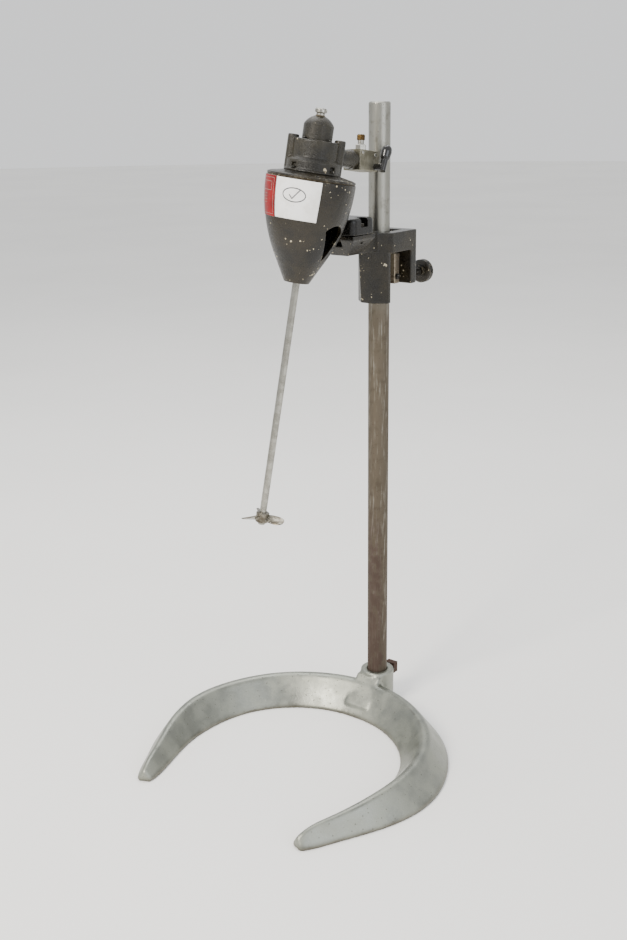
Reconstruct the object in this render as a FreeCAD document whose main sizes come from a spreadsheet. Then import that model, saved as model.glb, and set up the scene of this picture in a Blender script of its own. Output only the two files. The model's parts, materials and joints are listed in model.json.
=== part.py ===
"""Air-driven overhead stirrer on a horseshoe stand, as one parametric FreeCAD document.

Units are millimetres. +Z is up and the origin is on the floor under the upright rod.
The motor head hangs on the -Y side, over the opening of the horseshoe.
Pieces of the head are drawn in the head's own frame: local Z is the stirring axis,
local Y points at the rod, and the origin is the centre of the casing's rim.
"""

import FreeCAD, Part
import math
import os
import re
import Sketcher

from FreeCAD import Placement, Rotation, Vector

DIMS = {
    # stand rod and horseshoe base
    "rod_r": 12.7,
    "rod_top": 762.0,
    "rod_foot": 6.0,
    "rod_chamfer": 1.5,
    "run_gap": 0.05,
    "base_cy": -182.0,
    "base_ring": 158.0,
    "base_arc_end": 22.0,
    "base_leg": 90.0,
    "base_back_w": 32.0,
    "base_back_h": 38.0,
    "base_side_w": 27.5,
    "base_side_h": 35.0,
    "base_end_w": 21.0,
    "base_end_h": 29.0,
    "base_tip_w": 11.0,
    "base_tip_h": 17.0,
    "base_edge": 3.0,
    "boss_r": 21.5,
    "boss_top": 49.0,
    "boss_web": 17.0,
    "boss_web_y": -50.0,
    "setscrew_z": 37.0,
    "setscrew_r": 5.0,
    "setscrew_head_y": 30.0,
    "setscrew_head": 14.0,
    "setscrew_head_len": 9.5,
    # clamp bracket
    "jaw_low": 534.0,
    "jaw_high": 616.3,
    "jaw_x": 28.0,
    "jaw_left_x": 21.0,
    "jaw_step_x": 23.7,
    "jaw_side_y": -13.0,
    "jaw_back_y": -10.0,
    "jaw_top_y": -30.0,
    "jaw_top_w": 10.25,
    "jaw_bottom_y": -26.0,
    "jaw_bottom_w": 7.75,
    "grip_gap": 0.25,
    "bridge_x": 14.0,
    "bridge_low": 593.0,
    "leg_in_y": 26.7,
    "leg_out_y": 40.0,
    "leg_x": -20.0,
    "leg_low": 553.0,
    "screw_z": 558.0,
    "screw_r": 4.9,
    "screw_tip_r": 3.0,
    "screw_end_y": 100.5,
    "knob_r": 14.35,
    "knob_hub_r": 7.0,
    "knob_y": 89.0,
    "knob_disc_y": 92.4,
    "knob_end_y": 102.0,
    "knob_pin_r": 1.25,
    "pad_x": 16.0,
    "pad_in_y": 9.5,
    "pad_out_y": 20.5,
    "pad_low": 554.0,
    "pad_high": 589.0,
    "pad_screw_y": 14.5,
    "pad_screw_z": 562.0,
    # swivel socket and ball
    "ball_y": -70.0,
    "ball_z": 619.5,
    "ball_r": 16.0,
    "seat_r": 16.1,
    "cup_r": 22.5,
    "cup_low": 595.7,
    "cup_foot_r": 11.5,
    "seam": 0.5,
    "ear_x": 27.0,
    "cup_lip": 5.0,
    "cap_y": 22.0,
    "cap_high": 18.5,
    "bolt_x": 21.5,
    "bolt_r": 2.5,
    "pocket_z": 8.5,
    "mouth_w": 9.0,
    "arm_r": 8.0,
    "arm_pin_r": 6.0,
    "arm_reach": 77.6,
    "arm_drop": 56.6,
    "head_tilt": 7.3,
    "head_roll": 6.0,
    # casing and cover
    "casing_r": 48.5,
    "casing_top": -1.5,
    "ogive_r": 170.0,
    "ogive_z": -5.0,
    "ogive_turn": 27.2,
    "wall": 4.0,
    "nose_r": 14.0,
    "nose_z": -112.3,
    "nose_wall": 10.0,
    "bush_r": 9.0,
    "ledge_r": 38.0,
    "window_w": 14.0,
    "window_wide_z": -52.0,
    "window_point_z": -86.0,
    "window_arch_r": 17.5,
    "cover_low": -1.0,
    "cover_edge_r": 48.3,
    "cover_step_r": 31.0,
    "cover_high": 5.0,
    "cover_bore_r": 10.0,
    "cover_screw_ring": 42.0,
    # motor
    "core_r": 25.0,
    "core_top": 39.0,
    "lobe_r": 6.0,
    "lobe_turn": 37.0,
    "screw_turn": -8.0,
    "lobe_ring": 25.0,
    "lobe_top": 42.2,
    "foot_r": 31.0,
    "foot_top": 7.5,
    "cavity_r": 23.0,
    "cavity_top": 35.4,
    "foot_screw_ring": 28.3,
    "foot_pocket_r": 3.3,
    "foot_pocket_top": 13.5,
    "collar_r": 29.3,
    "collar_top": 16.5,
    "plate_r": 22.95,
    "lower_plate_low": 5.1,
    "lower_plate_high": 10.4,
    "upper_plate_low": 29.4,
    "upper_plate_high": 35.3,
    "bearing_r": 9.5,
    "bearing_in_r": 7.6,
    "bearing_len": 5.0,
    "ball_ring": 6.65,
    "bearing_ball_r": 1.5,
    "groove_r": 1.57,
    "inner_ring_r": 5.7,
    "upper_bearing_low": 30.3,
    "lower_bearing_low": 5.3,
    "liner_bore": 18.0,
    "liner_shift": 2.0,
    "rotor_r": 15.4,
    "rotor_low": 10.6,
    "rotor_high": 29.2,
    "vane_wide": 1.6,
    "vane_in": 9.2,
    "vane_out": 15.7,
    "spindle_r": 4.0,
    "spindle_top": 35.1,
    "spindle_low": -58.0,
    "key_wide": 2.0,
    "key_low": 15.0,
    "key_high": 25.0,
    "top_screw_ring": 18.8,
    "dome_r": 16.3,
    "dome_side_top": 54.5,
    "dome_top": 63.9,
    "dome_cap_r": 5.5,
    "dome_wall": 3.0,
    "plug_neck_r": 4.5,
    "plug_head_r": 6.45,
    "plug_head_low": 66.7,
    "plug_head_high": 71.8,
    # chuck, shaft and propeller
    "chuck_r": 18.0,
    "chuck_high": -46.0,
    "chuck_step": -74.0,
    "chuck_low": -88.0,
    "chuck_nose_r": 11.0,
    "shaft_r": 4.0,
    "shaft_low": -392.6,
    "prop_z": -383.8,
    "prop_hub_r": 7.6,
    "prop_hub_half": 6.0,
    "prop_r": 27.0,
    "prop_phase": 12.9,
    # air inlet
    "neck_z": 24.5,
    "neck_r": 9.75,
    "neck_in": 23.2,
    "neck_out": 69.0,
    "neck_flange_r": 11.0,
    "neck_flange_y": 63.5,
    "air_r": 3.0,
    "valve_turn": -9.0,
    "valve_x": 11.0,
    "valve_in_y": 69.0,
    "valve_out_y": 103.0,
    "valve_low": -11.0,
    "valve_high": 11.5,
    "union_y": 86.0,
    "union_hex": 11.1,
    "union_hex_top": 18.1,
    "union_tube_r": 3.5,
    "union_bore_r": 2.4,
    "union_top": 29.1,
    "union_foot_r": 4.5,
    "union_foot_z": 4.5,
    "ring_low": 22.5,
    "ring_r": 4.6,
    "valve_port_r": 1.6,
    "spool_r": 3.2,
    "spool_y": 99.0,
    "spool_z": -6.0,
    "lever_x": 20.0,
    "lever_lean": 20.8,
    "lever_offset": 2.5,
    "lever_foot": -3.9,
    "lever_stem_r": 4.1,
    "lever_grip_r": 6.25,
    "lever_end_r": 5.85,
    "lever_dome": 5.0,
    "lever_tip": 27.2,
    # labels
    "label_thick": 0.3,
    "label_high": -2.5,
    "label_tall": 42.0,
}

HEX_CORNER = 2 / math.sqrt(3)
VEE_HALF_ANGLE = 60.0
ALONG_X = Rotation(Vector(0, 1, 0), 90)
ALONG_Y = Rotation(Vector(1, 0, 0), -90)
AGAINST_Y = Rotation(Vector(1, 0, 0), 90)

doc = FreeCAD.newDocument("overhead_stirrer")
sheet = doc.addObject("Spreadsheet::Sheet", "dims")
for row, (alias, size) in enumerate(DIMS.items(), start=1):
    sheet.set(f"A{row}", alias)
    sheet.set(f"B{row}", str(size))
    sheet.setAlias(f"B{row}", alias)
doc.recompute()

parts = []


def bound(expression):
    """The expression with every alias written as a cell of the sheet."""
    return re.sub(
        r"[A-Za-z_]+",
        lambda word: f"dims.{word[0]}" if word[0] in DIMS else word[0],
        str(expression),
    )


def num(expression):
    """The value of an expression in the sheet's aliases."""
    return float(sheet.evalExpression(str(expression)))


def keep(piece, label, placement=None):
    """Registers a finished sub-part under its node name and puts it in its place."""
    piece.Label = label
    if placement is not None:
        piece.Placement = placement
    parts.append(piece)
    return piece


# ---------------------------------------------------------------- sketches and features


def new_body(name):
    return doc.addObject("PartDesign::Body", name + "_body")


def new_sketch(body, role, level):
    """An empty sketch on one of the body's own origin planes, moved along the plane's normal."""
    plane = [f for f in body.Origin.OriginFeatures if f.Role == role][0]
    sketch = body.newObject("Sketcher::SketchObject", body.Name + "_sketch")
    sketch.AttachmentSupport = (plane, [""])
    sketch.MapMode = "FlatFace"
    sketch.setExpression("AttachmentOffset.Base.z", bound(level))
    return sketch


def pin_point(sketch, geo, end, axis, expression):
    """Ties one coordinate of a point to an expression, or to the axis when it is 0."""
    if str(expression) == "0":
        on_axis = -2 if axis == "X" else -1
        sketch.addConstraint(Sketcher.Constraint("PointOnObject", geo, end, on_axis))
        return
    index = sketch.addConstraint(
        Sketcher.Constraint("Distance" + axis, geo, end, num(expression))
    )
    sketch.setExpression(f"Constraints[{index}]", bound(expression))


def arc_between(start, end, radius, side):
    """An arc from start to end whose centre lies to the left or right of the way there."""
    middle = (start + end) / 2
    chord = end - start
    rise = math.sqrt(max(radius**2 - (chord.Length / 2) ** 2, 0))
    across = Vector(-chord.y, chord.x, 0).normalize()
    sign = 1 if side == "left" else -1
    centre = middle + across * (sign * rise)
    first = math.atan2(start.y - centre.y, start.x - centre.x)
    last = math.atan2(end.y - centre.y, end.x - centre.x)
    circle = Part.Circle(centre, Vector(0, 0, 1), radius)
    if side == "left":
        return Part.ArcOfCircle(circle, first, last)
    return Part.ArcOfCircle(circle, last, first)


def outline(sketch, corners):
    """A closed outline. A corner is (x, y), or (x, y, radius, side) where an arc leaves it."""
    points = [Vector(num(c[0]), num(c[1]), 0) for c in corners]
    ends = []
    for i, corner in enumerate(corners):
        start, end = points[i], points[(i + 1) % len(points)]
        if len(corner) == 2:
            geo = sketch.addGeometry(Part.LineSegment(start, end))
            ends.append((geo, 1, 2))
            continue
        radius, side = corner[2:]
        geo = sketch.addGeometry(arc_between(start, end, num(radius), side))
        ends.append((geo, 1, 2) if side == "left" else (geo, 2, 1))
        index = sketch.addConstraint(Sketcher.Constraint("Radius", geo, num(radius)))
        sketch.setExpression(f"Constraints[{index}]", bound(radius))
    for i, (geo, first, last) in enumerate(ends):
        after = ends[(i + 1) % len(ends)]
        sketch.addConstraint(
            Sketcher.Constraint("Coincident", geo, last, after[0], after[1])
        )
        pin_point(sketch, geo, first, "X", corners[i][0])
        pin_point(sketch, geo, first, "Y", corners[i][1])
    return sketch


def circle(sketch, x, y, radius):
    geo = sketch.addGeometry(
        Part.Circle(Vector(num(x), num(y), 0), Vector(0, 0, 1), num(radius))
    )
    pin_point(sketch, geo, 3, "X", x)
    pin_point(sketch, geo, 3, "Y", y)
    index = sketch.addConstraint(Sketcher.Constraint("Radius", geo, num(radius)))
    sketch.setExpression(f"Constraints[{index}]", bound(radius))
    return sketch


def corners_of(x_low, x_high, y_low, y_high):
    return [(x_low, y_low), (x_high, y_low), (x_high, y_high), (x_low, y_high)]


def hexagon(across_flats, x="0", y="0"):
    corner = f"({across_flats}) * {HEX_CORNER / 2:.6f}"
    half = f"({corner}) / 2"
    flat = f"({across_flats}) / 2"
    return [
        (f"{x} + {corner}", y if y != "0" else "0"),
        (f"{x} + {half}", f"{y} + {flat}"),
        (f"{x} - {half}", f"{y} + {flat}"),
        (f"{x} - {corner}", y if y != "0" else "0"),
        (f"{x} - {half}", f"{y} - {flat}"),
        (f"{x} + {half}", f"{y} - {flat}"),
    ]


def swept(body, kind, role, low, high, shape):
    """A pad or pocket between two levels of the plane's own axis."""
    facing_away = role == "XZ_Plane"
    starts_high = (kind == "Pad") == facing_away
    level = high if starts_high else low
    sketch = new_sketch(body, role, f"-({level})" if facing_away else level)
    if len(shape) == 3 and not isinstance(shape[0], tuple):
        circle(sketch, *shape)
    else:
        outline(sketch, shape)
    feature = body.newObject("PartDesign::" + kind, body.Name + "_" + kind.lower())
    feature.Profile = sketch
    feature.setExpression("Length", bound(f"({high}) - ({low})"))
    sketch.Visibility = False
    return feature


def pad(body, role, low, high, shape):
    return swept(body, "Pad", role, low, high, shape)


def pocket(body, role, low, high, shape):
    return swept(body, "Pocket", role, low, high, shape)


def turn(body, shape, kind="Revolution", level="0"):
    """A revolution or groove about the sketch's upright axis, in a plane at Y = level."""
    sketch = new_sketch(body, "XZ_Plane", f"-({level})")
    outline(sketch, shape)
    feature = body.newObject("PartDesign::" + kind, body.Name + "_turn")
    feature.Profile = sketch
    feature.ReferenceAxis = (sketch, ["V_Axis"])
    feature.Angle = 360.0
    return feature


def turned(label, shape, placement=None):
    body = new_body(label)
    turn(body, shape)
    return keep(body, label, placement)


def ring_of(body, feature, count):
    """Repeats a feature round the body's Z axis."""
    axis = [f for f in body.Origin.OriginFeatures if f.Role == "Z_Axis"][0]
    pattern = body.newObject("PartDesign::PolarPattern", body.Name + "_ring")
    pattern.Originals = [feature]
    pattern.Axis = (axis, [""])
    pattern.Angle = 360.0
    pattern.Occurrences = count
    body.Tip = pattern
    return pattern


def dress(body, kind, size, wanted):
    """A fillet or chamfer on the edges of the body's tip that the test picks."""
    doc.recompute()
    tip = body.Tip
    names = [
        f"Edge{i}" for i, edge in enumerate(tip.Shape.Edges, start=1) if wanted(edge)
    ]
    if not names:
        raise RuntimeError(f"{body.Name}: no edge to dress")
    feature = body.newObject("PartDesign::" + kind, body.Name + "_" + kind.lower())
    feature.Base = (tip, names)
    feature.setExpression("Radius" if kind == "Fillet" else "Size", bound(size))
    return feature


def level_edge(z, tolerance=0.05):
    """A test for edges that lie flat at height z."""
    return lambda e: (
        abs(e.BoundBox.ZMin - z) < tolerance and abs(e.BoundBox.ZMax - z) < tolerance
    )


def upright_edge(x=None, y=None, tolerance=0.05):
    """A test for edges parallel to Z, at a given |x| and y if stated."""

    def test(edge):
        box = edge.BoundBox
        if box.XLength > tolerance or box.YLength > tolerance or box.ZLength < 1:
            return False
        right_x = x is None or abs(abs(box.XMin) - x) < tolerance
        right_y = y is None or abs(box.YMin - y) < tolerance
        return right_x and right_y

    return test


def group(label, source, places, placement=None):
    """Several separate copies of one piece, kept as one node."""
    links = []
    for place in places:
        link = doc.addObject("App::Link", label + "_copy")
        link.LinkedObject = source
        link.Placement = place
        links.append(link)
    bundle = doc.addObject("Part::Compound", label + "_group")
    bundle.Links = links
    return keep(bundle, label, placement)


def around(count, radius, z, first=0.0, rotation=None):
    """Places evenly spaced round the Z axis."""
    places = []
    for i in range(count):
        turn_z = Rotation(Vector(0, 0, 1), first + 360.0 * i / count)
        spot = turn_z.multVec(Vector(radius, 0, z))
        places.append(Placement(spot, turn_z * (rotation or Rotation())))
    return places


# ---------------------------------------------------------------- frames

TILT = Rotation(Vector(1, 0, 0), -num("head_tilt"))
LEAN = TILT * Rotation(Vector(0, 1, 0), num("head_roll"))
BALL = Vector(0, num("ball_y"), num("ball_z"))
HEAD = Placement(
    BALL - LEAN.multVec(Vector(0, num("arm_reach"), -num("arm_drop"))), LEAN
)
ARM = HEAD * Placement(Vector(0, num("arm_reach"), -num("arm_drop")), AGAINST_Y)
VALVE = HEAD * Placement(
    Vector(0, 0, num("neck_z")), Rotation(Vector(0, 1, 0), num("valve_turn"))
)
LEVER = VALVE * Placement(
    Vector(0, num("spool_y"), num("spool_z")),
    Rotation(Vector(1, 0, 0), -num("lever_lean")),
)


def screw_piece(name, shank_r, shank_len, head_r, head_len, slot=True):
    """A cheese-head screw standing on z = 0 with its shank below; not a node by itself."""
    body = new_body(name)
    turn(
        body,
        [
            ("0", f"-{shank_len}"),
            (shank_r, f"-{shank_len}"),
            (shank_r, "0"),
            (head_r, "0"),
            (head_r, f"{head_len} * 0.7"),
            (f"{head_r} * 0.8", head_len),
            ("0", head_len),
        ],
    )
    if slot:
        half = f"{head_r} * 0.14"
        pocket(
            body,
            "XY_Plane",
            f"{head_len} * 0.5",
            head_len,
            corners_of(f"-{head_r}", head_r, f"-{half}", half),
        )
    return body


# ---------------------------------------------------------------- stand


UNDERCUT = 2.0


def base_section(body, along, width, height):
    """One cross-section of the horseshoe: a low edge, two slopes and a rounded ridge."""
    arc_end = num("base_arc_end")
    centre = Vector(0, num("base_cy"), 0)
    angle = max(-arc_end, min(180 + arc_end, along["angle"]))
    outward = Vector(math.cos(math.radians(angle)), math.sin(math.radians(angle)), 0)
    forward = Vector(-outward.y, outward.x, 0)
    spot = centre + outward * num("base_ring") + forward * along["past"]
    sketch = new_sketch(body, "XY_Plane", "0")
    sketch.AttachmentOffset = Placement(
        spot, Rotation(outward, Vector(0, 0, 1), forward * -1, "XYZ")
    )
    edge = min(num("base_edge"), height * 0.3)
    ridge = width * 0.3
    # the slope touches the ridge circle: its angle follows from the right triangle
    rise = height - ridge - edge
    reach = math.hypot(width, rise)
    slope = math.atan2(rise, width) + math.asin(ridge / reach)
    touch_x = ridge * math.sin(slope)
    touch_z = height - ridge + ridge * math.cos(slope)
    points = [
        Vector(-width, -UNDERCUT, 0),
        Vector(width, -UNDERCUT, 0),
        Vector(width, edge, 0),
        Vector(touch_x, touch_z, 0),
        Vector(-touch_x, touch_z, 0),
        Vector(-width, edge, 0),
    ]
    for i in (0, 1, 2):
        sketch.addGeometry(Part.LineSegment(points[i], points[i + 1]))
    sketch.addGeometry(arc_between(points[3], points[4], ridge, "left"))
    sketch.addGeometry(Part.LineSegment(points[4], points[5]))
    sketch.addGeometry(Part.LineSegment(points[5], points[0]))
    for i in range(6):
        sketch.addConstraint(Sketcher.Constraint("Coincident", i, 2, (i + 1) % 6, 1))
        sketch.addConstraint(Sketcher.Constraint("Block", i))
    return sketch


def base_stations():
    """Where the sections stand and how wide and high they are, from one tip to the other."""
    back = (num("base_back_w"), num("base_back_h"))
    side = (num("base_side_w"), num("base_side_h"))
    end = (num("base_end_w"), num("base_end_h"))
    tip = (num("base_tip_w"), num("base_tip_h"))
    leg = num("base_leg")
    nose = [(1.0, 0.42, 0.42), (0.985, 0.72, 0.7), (0.93, 0.93, 0.92)]
    stations = []
    for share, wide, tall in nose:
        stations.append((-leg * share, tip[0] * wide, tip[1] * tall))
    half = 0.5
    stations.append(
        (-leg * half, (end[0] + tip[0]) * half, (end[1] + tip[1]) * half)
    )
    arc_end = num("base_arc_end")
    right = [({"angle": -arc_end, "past": s[0]}, s[1], s[2]) for s in stations]
    right.append(({"angle": -arc_end, "past": 0.0}, *end))
    right.append(({"angle": 0.0, "past": 0.0}, *side))
    steps = 4
    for i in range(1, steps):
        share = i / steps
        right.append(
            (
                {"angle": 90.0 * share, "past": 0.0},
                side[0] + (back[0] - side[0]) * share,
                side[1] + (back[1] - side[1]) * share,
            )
        )
    middle = [({"angle": 90.0, "past": 0.0}, *back)]
    left = [
        ({"angle": 180.0 - where["angle"], "past": -where["past"]}, wide, tall)
        for where, wide, tall in reversed(right)
    ]
    return right + middle + left


def make_base():
    body = new_body("base")
    sections = [base_section(body, *station) for station in base_stations()]
    loft = body.newObject("PartDesign::AdditiveLoft", "base_ridge")
    loft.Profile = sections[0]
    loft.Sections = sections[1:]
    # one plane underneath, so that the foot stands flat
    below = corners_of("-base_ring * 2", "base_ring * 2", "base_cy * 2.5", "base_ring")
    pocket(body, "XY_Plane", f"-{UNDERCUT} - 1", "0", below)
    pad(body, "XY_Plane", "0", "boss_top", ("0", "0", "boss_r"))
    # web that runs from the front of the boss down the inner slope
    pad(
        body,
        "YZ_Plane",
        "-boss_web",
        "boss_web",
        [
            ("-5", "base_edge + 7"),
            ("boss_web_y", "base_edge + 7"),
            ("boss_web_y", "base_edge + 11"),
            ("-boss_r - 4", "boss_top - 9"),
            ("-boss_r + 1", "boss_top - 4"),
            ("-5", "boss_top - 4"),
        ],
    )
    pocket(
        body, "XY_Plane", "rod_foot", "boss_top", ("0", "0", "rod_r + run_gap")
    )
    pocket(
        body,
        "XZ_Plane",
        "rod_r / 2",
        "boss_r + 2",
        ("0", "setscrew_z", "setscrew_r + run_gap"),
    )
    dress(body, "Fillet", "1.5", lambda e: level_edge(num("boss_top"))(e)
          and e.BoundBox.XLength > 2 * num("rod_r") + 2)
    keep(body, "base_casting")


def make_setscrew():
    body = new_body("setscrew")
    half = "setscrew_head / 2"
    turn(
        body,
        [
            ("0", "rod_r + run_gap * 2"),
            ("setscrew_r * 0.6", "rod_r + run_gap * 2"),
            ("setscrew_r", "rod_r + 2"),
            ("setscrew_r", "setscrew_head_y"),
            ("0", "setscrew_head_y"),
        ],
    )
    pad(
        body,
        "XY_Plane",
        "setscrew_head_y",
        "setscrew_head_y + setscrew_head_len",
        corners_of(f"-{half}", half, f"-{half}", half),
    )
    top = num("setscrew_head_y + setscrew_head_len")
    dress(body, "Chamfer", "1", level_edge(top))
    keep(body, "base_setscrew", Placement(Vector(0, 0, num("setscrew_z")), ALONG_Y))


def make_rod():
    turned(
        "upright_rod",
        [
            ("0", "rod_foot"),
            ("rod_r - rod_chamfer", "rod_foot"),
            ("rod_r", "rod_foot + rod_chamfer"),
            ("rod_r", "rod_top - rod_chamfer"),
            ("rod_r - rod_chamfer", "rod_top"),
            ("0", "rod_top"),
        ],
    )


# ---------------------------------------------------------------- clamp bracket


def jaw_section(body, level, front_y, front_w):
    return outline(
        new_sketch(body, "XY_Plane", level),
        [
            (f"-{front_w}", front_y),
            (front_w, front_y),
            ("jaw_x", "jaw_side_y"),
            ("jaw_x", "jaw_back_y"),
            ("-jaw_left_x", "jaw_back_y"),
            ("-jaw_left_x", "jaw_side_y"),
        ],
    )


def vee(side, mouth):
    """A triangle whose two faces grip the rod with a small gap; side is -1 or 1 along Y."""
    half = math.radians(VEE_HALF_ANGLE)
    apex = f"(rod_r + grip_gap) * {side / math.sin(half):.6f}"
    width = f"(abs({apex}) - abs({mouth})) * {math.tan(half):.6f}"
    return [("0", apex), (width, mouth), (f"-({width})", mouth)]


def socket_seat(body, half):
    """Cuts the ball's seat: the lower or the upper half of a sphere."""
    edge = "ball_z"
    pole = f"ball_z {'-' if half == 'lower' else '+'} seat_r"
    past = f"ball_z {'+' if half == 'lower' else '-'} 2"
    side = "left" if half == "lower" else "right"
    turn(
        body,
        [
            ("0", pole, "seat_r", side),
            ("seat_r", edge),
            ("seat_r", past),
            ("0", past),
        ],
        "Groove",
        "ball_y",
    )


def socket_mouth(body):
    """Cuts the slot that the arm leaves the socket through, from ball centre towards -Y."""
    far = "ball_y - cup_r - 6"
    pocket(
        body,
        "YZ_Plane",
        "-mouth_w",
        "mouth_w",
        [
            (far, "ball_z - mouth_w * 1.75"),
            ("ball_y", "ball_z - mouth_w * 0.95"),
            ("ball_y", "ball_z + mouth_w * 0.95"),
            (far, "ball_z + mouth_w * 2.05"),
        ],
    )


def cup_section(body, level, wide, deep):
    sides = corners_of(f"-{wide}", wide, f"ball_y - {deep}", f"ball_y + {deep}")
    return outline(new_sketch(body, "XY_Plane", level), sides)


def make_clamp_frame():
    body = new_body("clamp")
    low = jaw_section(body, "jaw_low", "jaw_bottom_y", "jaw_bottom_w")
    high = jaw_section(body, "jaw_high", "jaw_top_y", "jaw_top_w")
    jaw = body.newObject("PartDesign::AdditiveLoft", "clamp_jaw")
    jaw.Profile = low
    jaw.Sections = [high]
    # below the bridge the jaw is cut back to the width of the rod's seat
    beside = corners_of("jaw_step_x", "jaw_x + 1", "jaw_top_y", "jaw_back_y + 1")
    pocket(body, "XY_Plane", "jaw_low", "bridge_low", beside)
    pad(
        body,
        "XY_Plane",
        "bridge_low",
        "jaw_high",
        corners_of("bridge_x", "jaw_x", "jaw_side_y", "leg_out_y"),
    )
    pad(
        body,
        "XZ_Plane",
        "leg_in_y",
        "leg_out_y",
        corners_of("leg_x", "jaw_x", "leg_low", "jaw_high"),
    )
    dress(
        body,
        "Fillet",
        "3",
        lambda e: upright_edge(y=num("leg_out_y"))(e)
        or (level_edge(num("leg_low"))(e) and e.BoundBox.YMin > num("leg_out_y") - 0.1),
    )
    # neck and cup of the ball socket
    pad(
        body,
        "XY_Plane",
        "cup_low",
        "ball_z - seam",
        [
            ("-15", "jaw_top_y + 6"),
            ("-13", "ball_y + 12"),
            ("13", "ball_y + 12"),
            ("15", "jaw_top_y + 6"),
        ],
    )
    pad(
        body,
        "XY_Plane",
        "ball_z - cup_lip",
        "ball_z - seam",
        corners_of("-ear_x", "ear_x", "ball_y - cap_y", "ball_y + cap_y"),
    )
    foot = cup_section(body, "cup_low", "cup_foot_r", "cup_foot_r")
    rim = cup_section(body, "ball_z - cup_lip", "ear_x", "cap_y")
    cup = body.newObject("PartDesign::AdditiveLoft", "clamp_cup")
    cup.Profile = foot
    cup.Sections = [rim]
    socket_seat(body, "lower")
    socket_mouth(body)
    for side in ("", "-"):
        pocket(
            body,
            "XY_Plane",
            "ball_z + pocket_z - ball_r - 3",
            "ball_z",
            (f"{side}bolt_x", "ball_y", "bolt_r"),
        )
    pocket(body, "XY_Plane", "jaw_low", "jaw_high", vee(-1, "-8"))
    pocket(
        body,
        "XZ_Plane",
        "leg_in_y",
        "leg_out_y",
        ("0", "screw_z", "screw_r + run_gap"),
    )
    keep(body, "clamp_frame")


def make_socket_cap():
    body = new_body("cap")
    top = "ball_z + cap_high"
    pad(
        body,
        "XY_Plane",
        "ball_z + seam",
        top,
        corners_of("-ear_x", "ear_x", "ball_y - cap_y", "ball_y + cap_y"),
    )
    dress(body, "Fillet", "8", upright_edge(x=num("ear_x")))
    dress(body, "Fillet", "4", level_edge(num(top)))
    socket_seat(body, "upper")
    socket_mouth(body)
    for side in ("", "-"):
        inner, outer = f"{side}16.8", f"{side}(ear_x + 1)"
        across = (inner, outer) if side == "" else (outer, inner)
        pocket(
            body,
            "XY_Plane",
            "ball_z + pocket_z",
            f"{top} + 1",
            corners_of(*across, "ball_y - 6.5", "ball_y + 6.5"),
        )
        pocket(
            body,
            "XY_Plane",
            "ball_z",
            "ball_z + pocket_z + 1",
            (f"{side}bolt_x", "ball_y", "bolt_r + 0.15"),
        )
    pocket(body, "XY_Plane", "ball_z + 10", f"{top} + 1", ("0", "ball_y + 3", "2.05"))
    keep(body, "socket_cap")


def make_socket_fasteners():
    bolt = new_body("cap_bolt")
    turn(
        bolt,
        [
            ("0", "-ball_r - 3"),
            ("bolt_r", "-ball_r - 3"),
            ("bolt_r", "0"),
            ("0", "0"),
        ],
    )
    pad(bolt, "XY_Plane", "0", "4", hexagon("8"))
    dress(bolt, "Chamfer", "0.5", level_edge(4.0))
    places = [
        Placement(
            Vector(side * num("bolt_x"), num("ball_y"), num("ball_z + pocket_z")),
            Rotation(),
        )
        for side in (-1, 1)
    ]
    group("socket_cap_bolts", bolt, places)
    turned(
        "socket_lock_screw",
        [
            ("0", "seat_r + 0.5"),
            ("2", "seat_r + 0.5"),
            ("2", "cap_high"),
            ("2.6", "cap_high"),
            ("2.6", "cap_high + 5"),
            ("2", "cap_high + 6"),
            ("0", "cap_high + 6"),
        ],
        Placement(Vector(0, num("ball_y + 3"), num("ball_z")), Rotation()),
    )


def make_pad():
    body = new_body("pad")
    pad(
        body,
        "XY_Plane",
        "pad_low",
        "pad_high",
        corners_of("-pad_x", "pad_x", "pad_in_y", "pad_out_y"),
    )
    dress(body, "Fillet", "1.5", upright_edge(x=num("pad_x")))
    pocket(body, "XY_Plane", "pad_low", "pad_high", vee(1, "8"))
    pocket(
        body,
        "XZ_Plane",
        "pad_out_y - 4",
        "pad_out_y",
        ("0", "screw_z", "screw_tip_r + run_gap"),
    )
    for ends in (("pad_x - 6", "pad_x"), ("-pad_x", "-pad_x + 6")):
        pocket(
            body,
            "YZ_Plane",
            *ends,
            ("pad_screw_y", "pad_screw_z", "1.75"),
        )
    keep(body, "clamp_pad")
    screw = screw_piece("pad_screw", "1.75", "6", "3.5", "2.5")
    places = [
        Placement(
            Vector(side * num("pad_x"), num("pad_screw_y"), num("pad_screw_z")),
            Rotation(Vector(0, 1, 0), side * 90),
        )
        for side in (-1, 1)
    ]
    group("pad_screws", screw, places)


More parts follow.
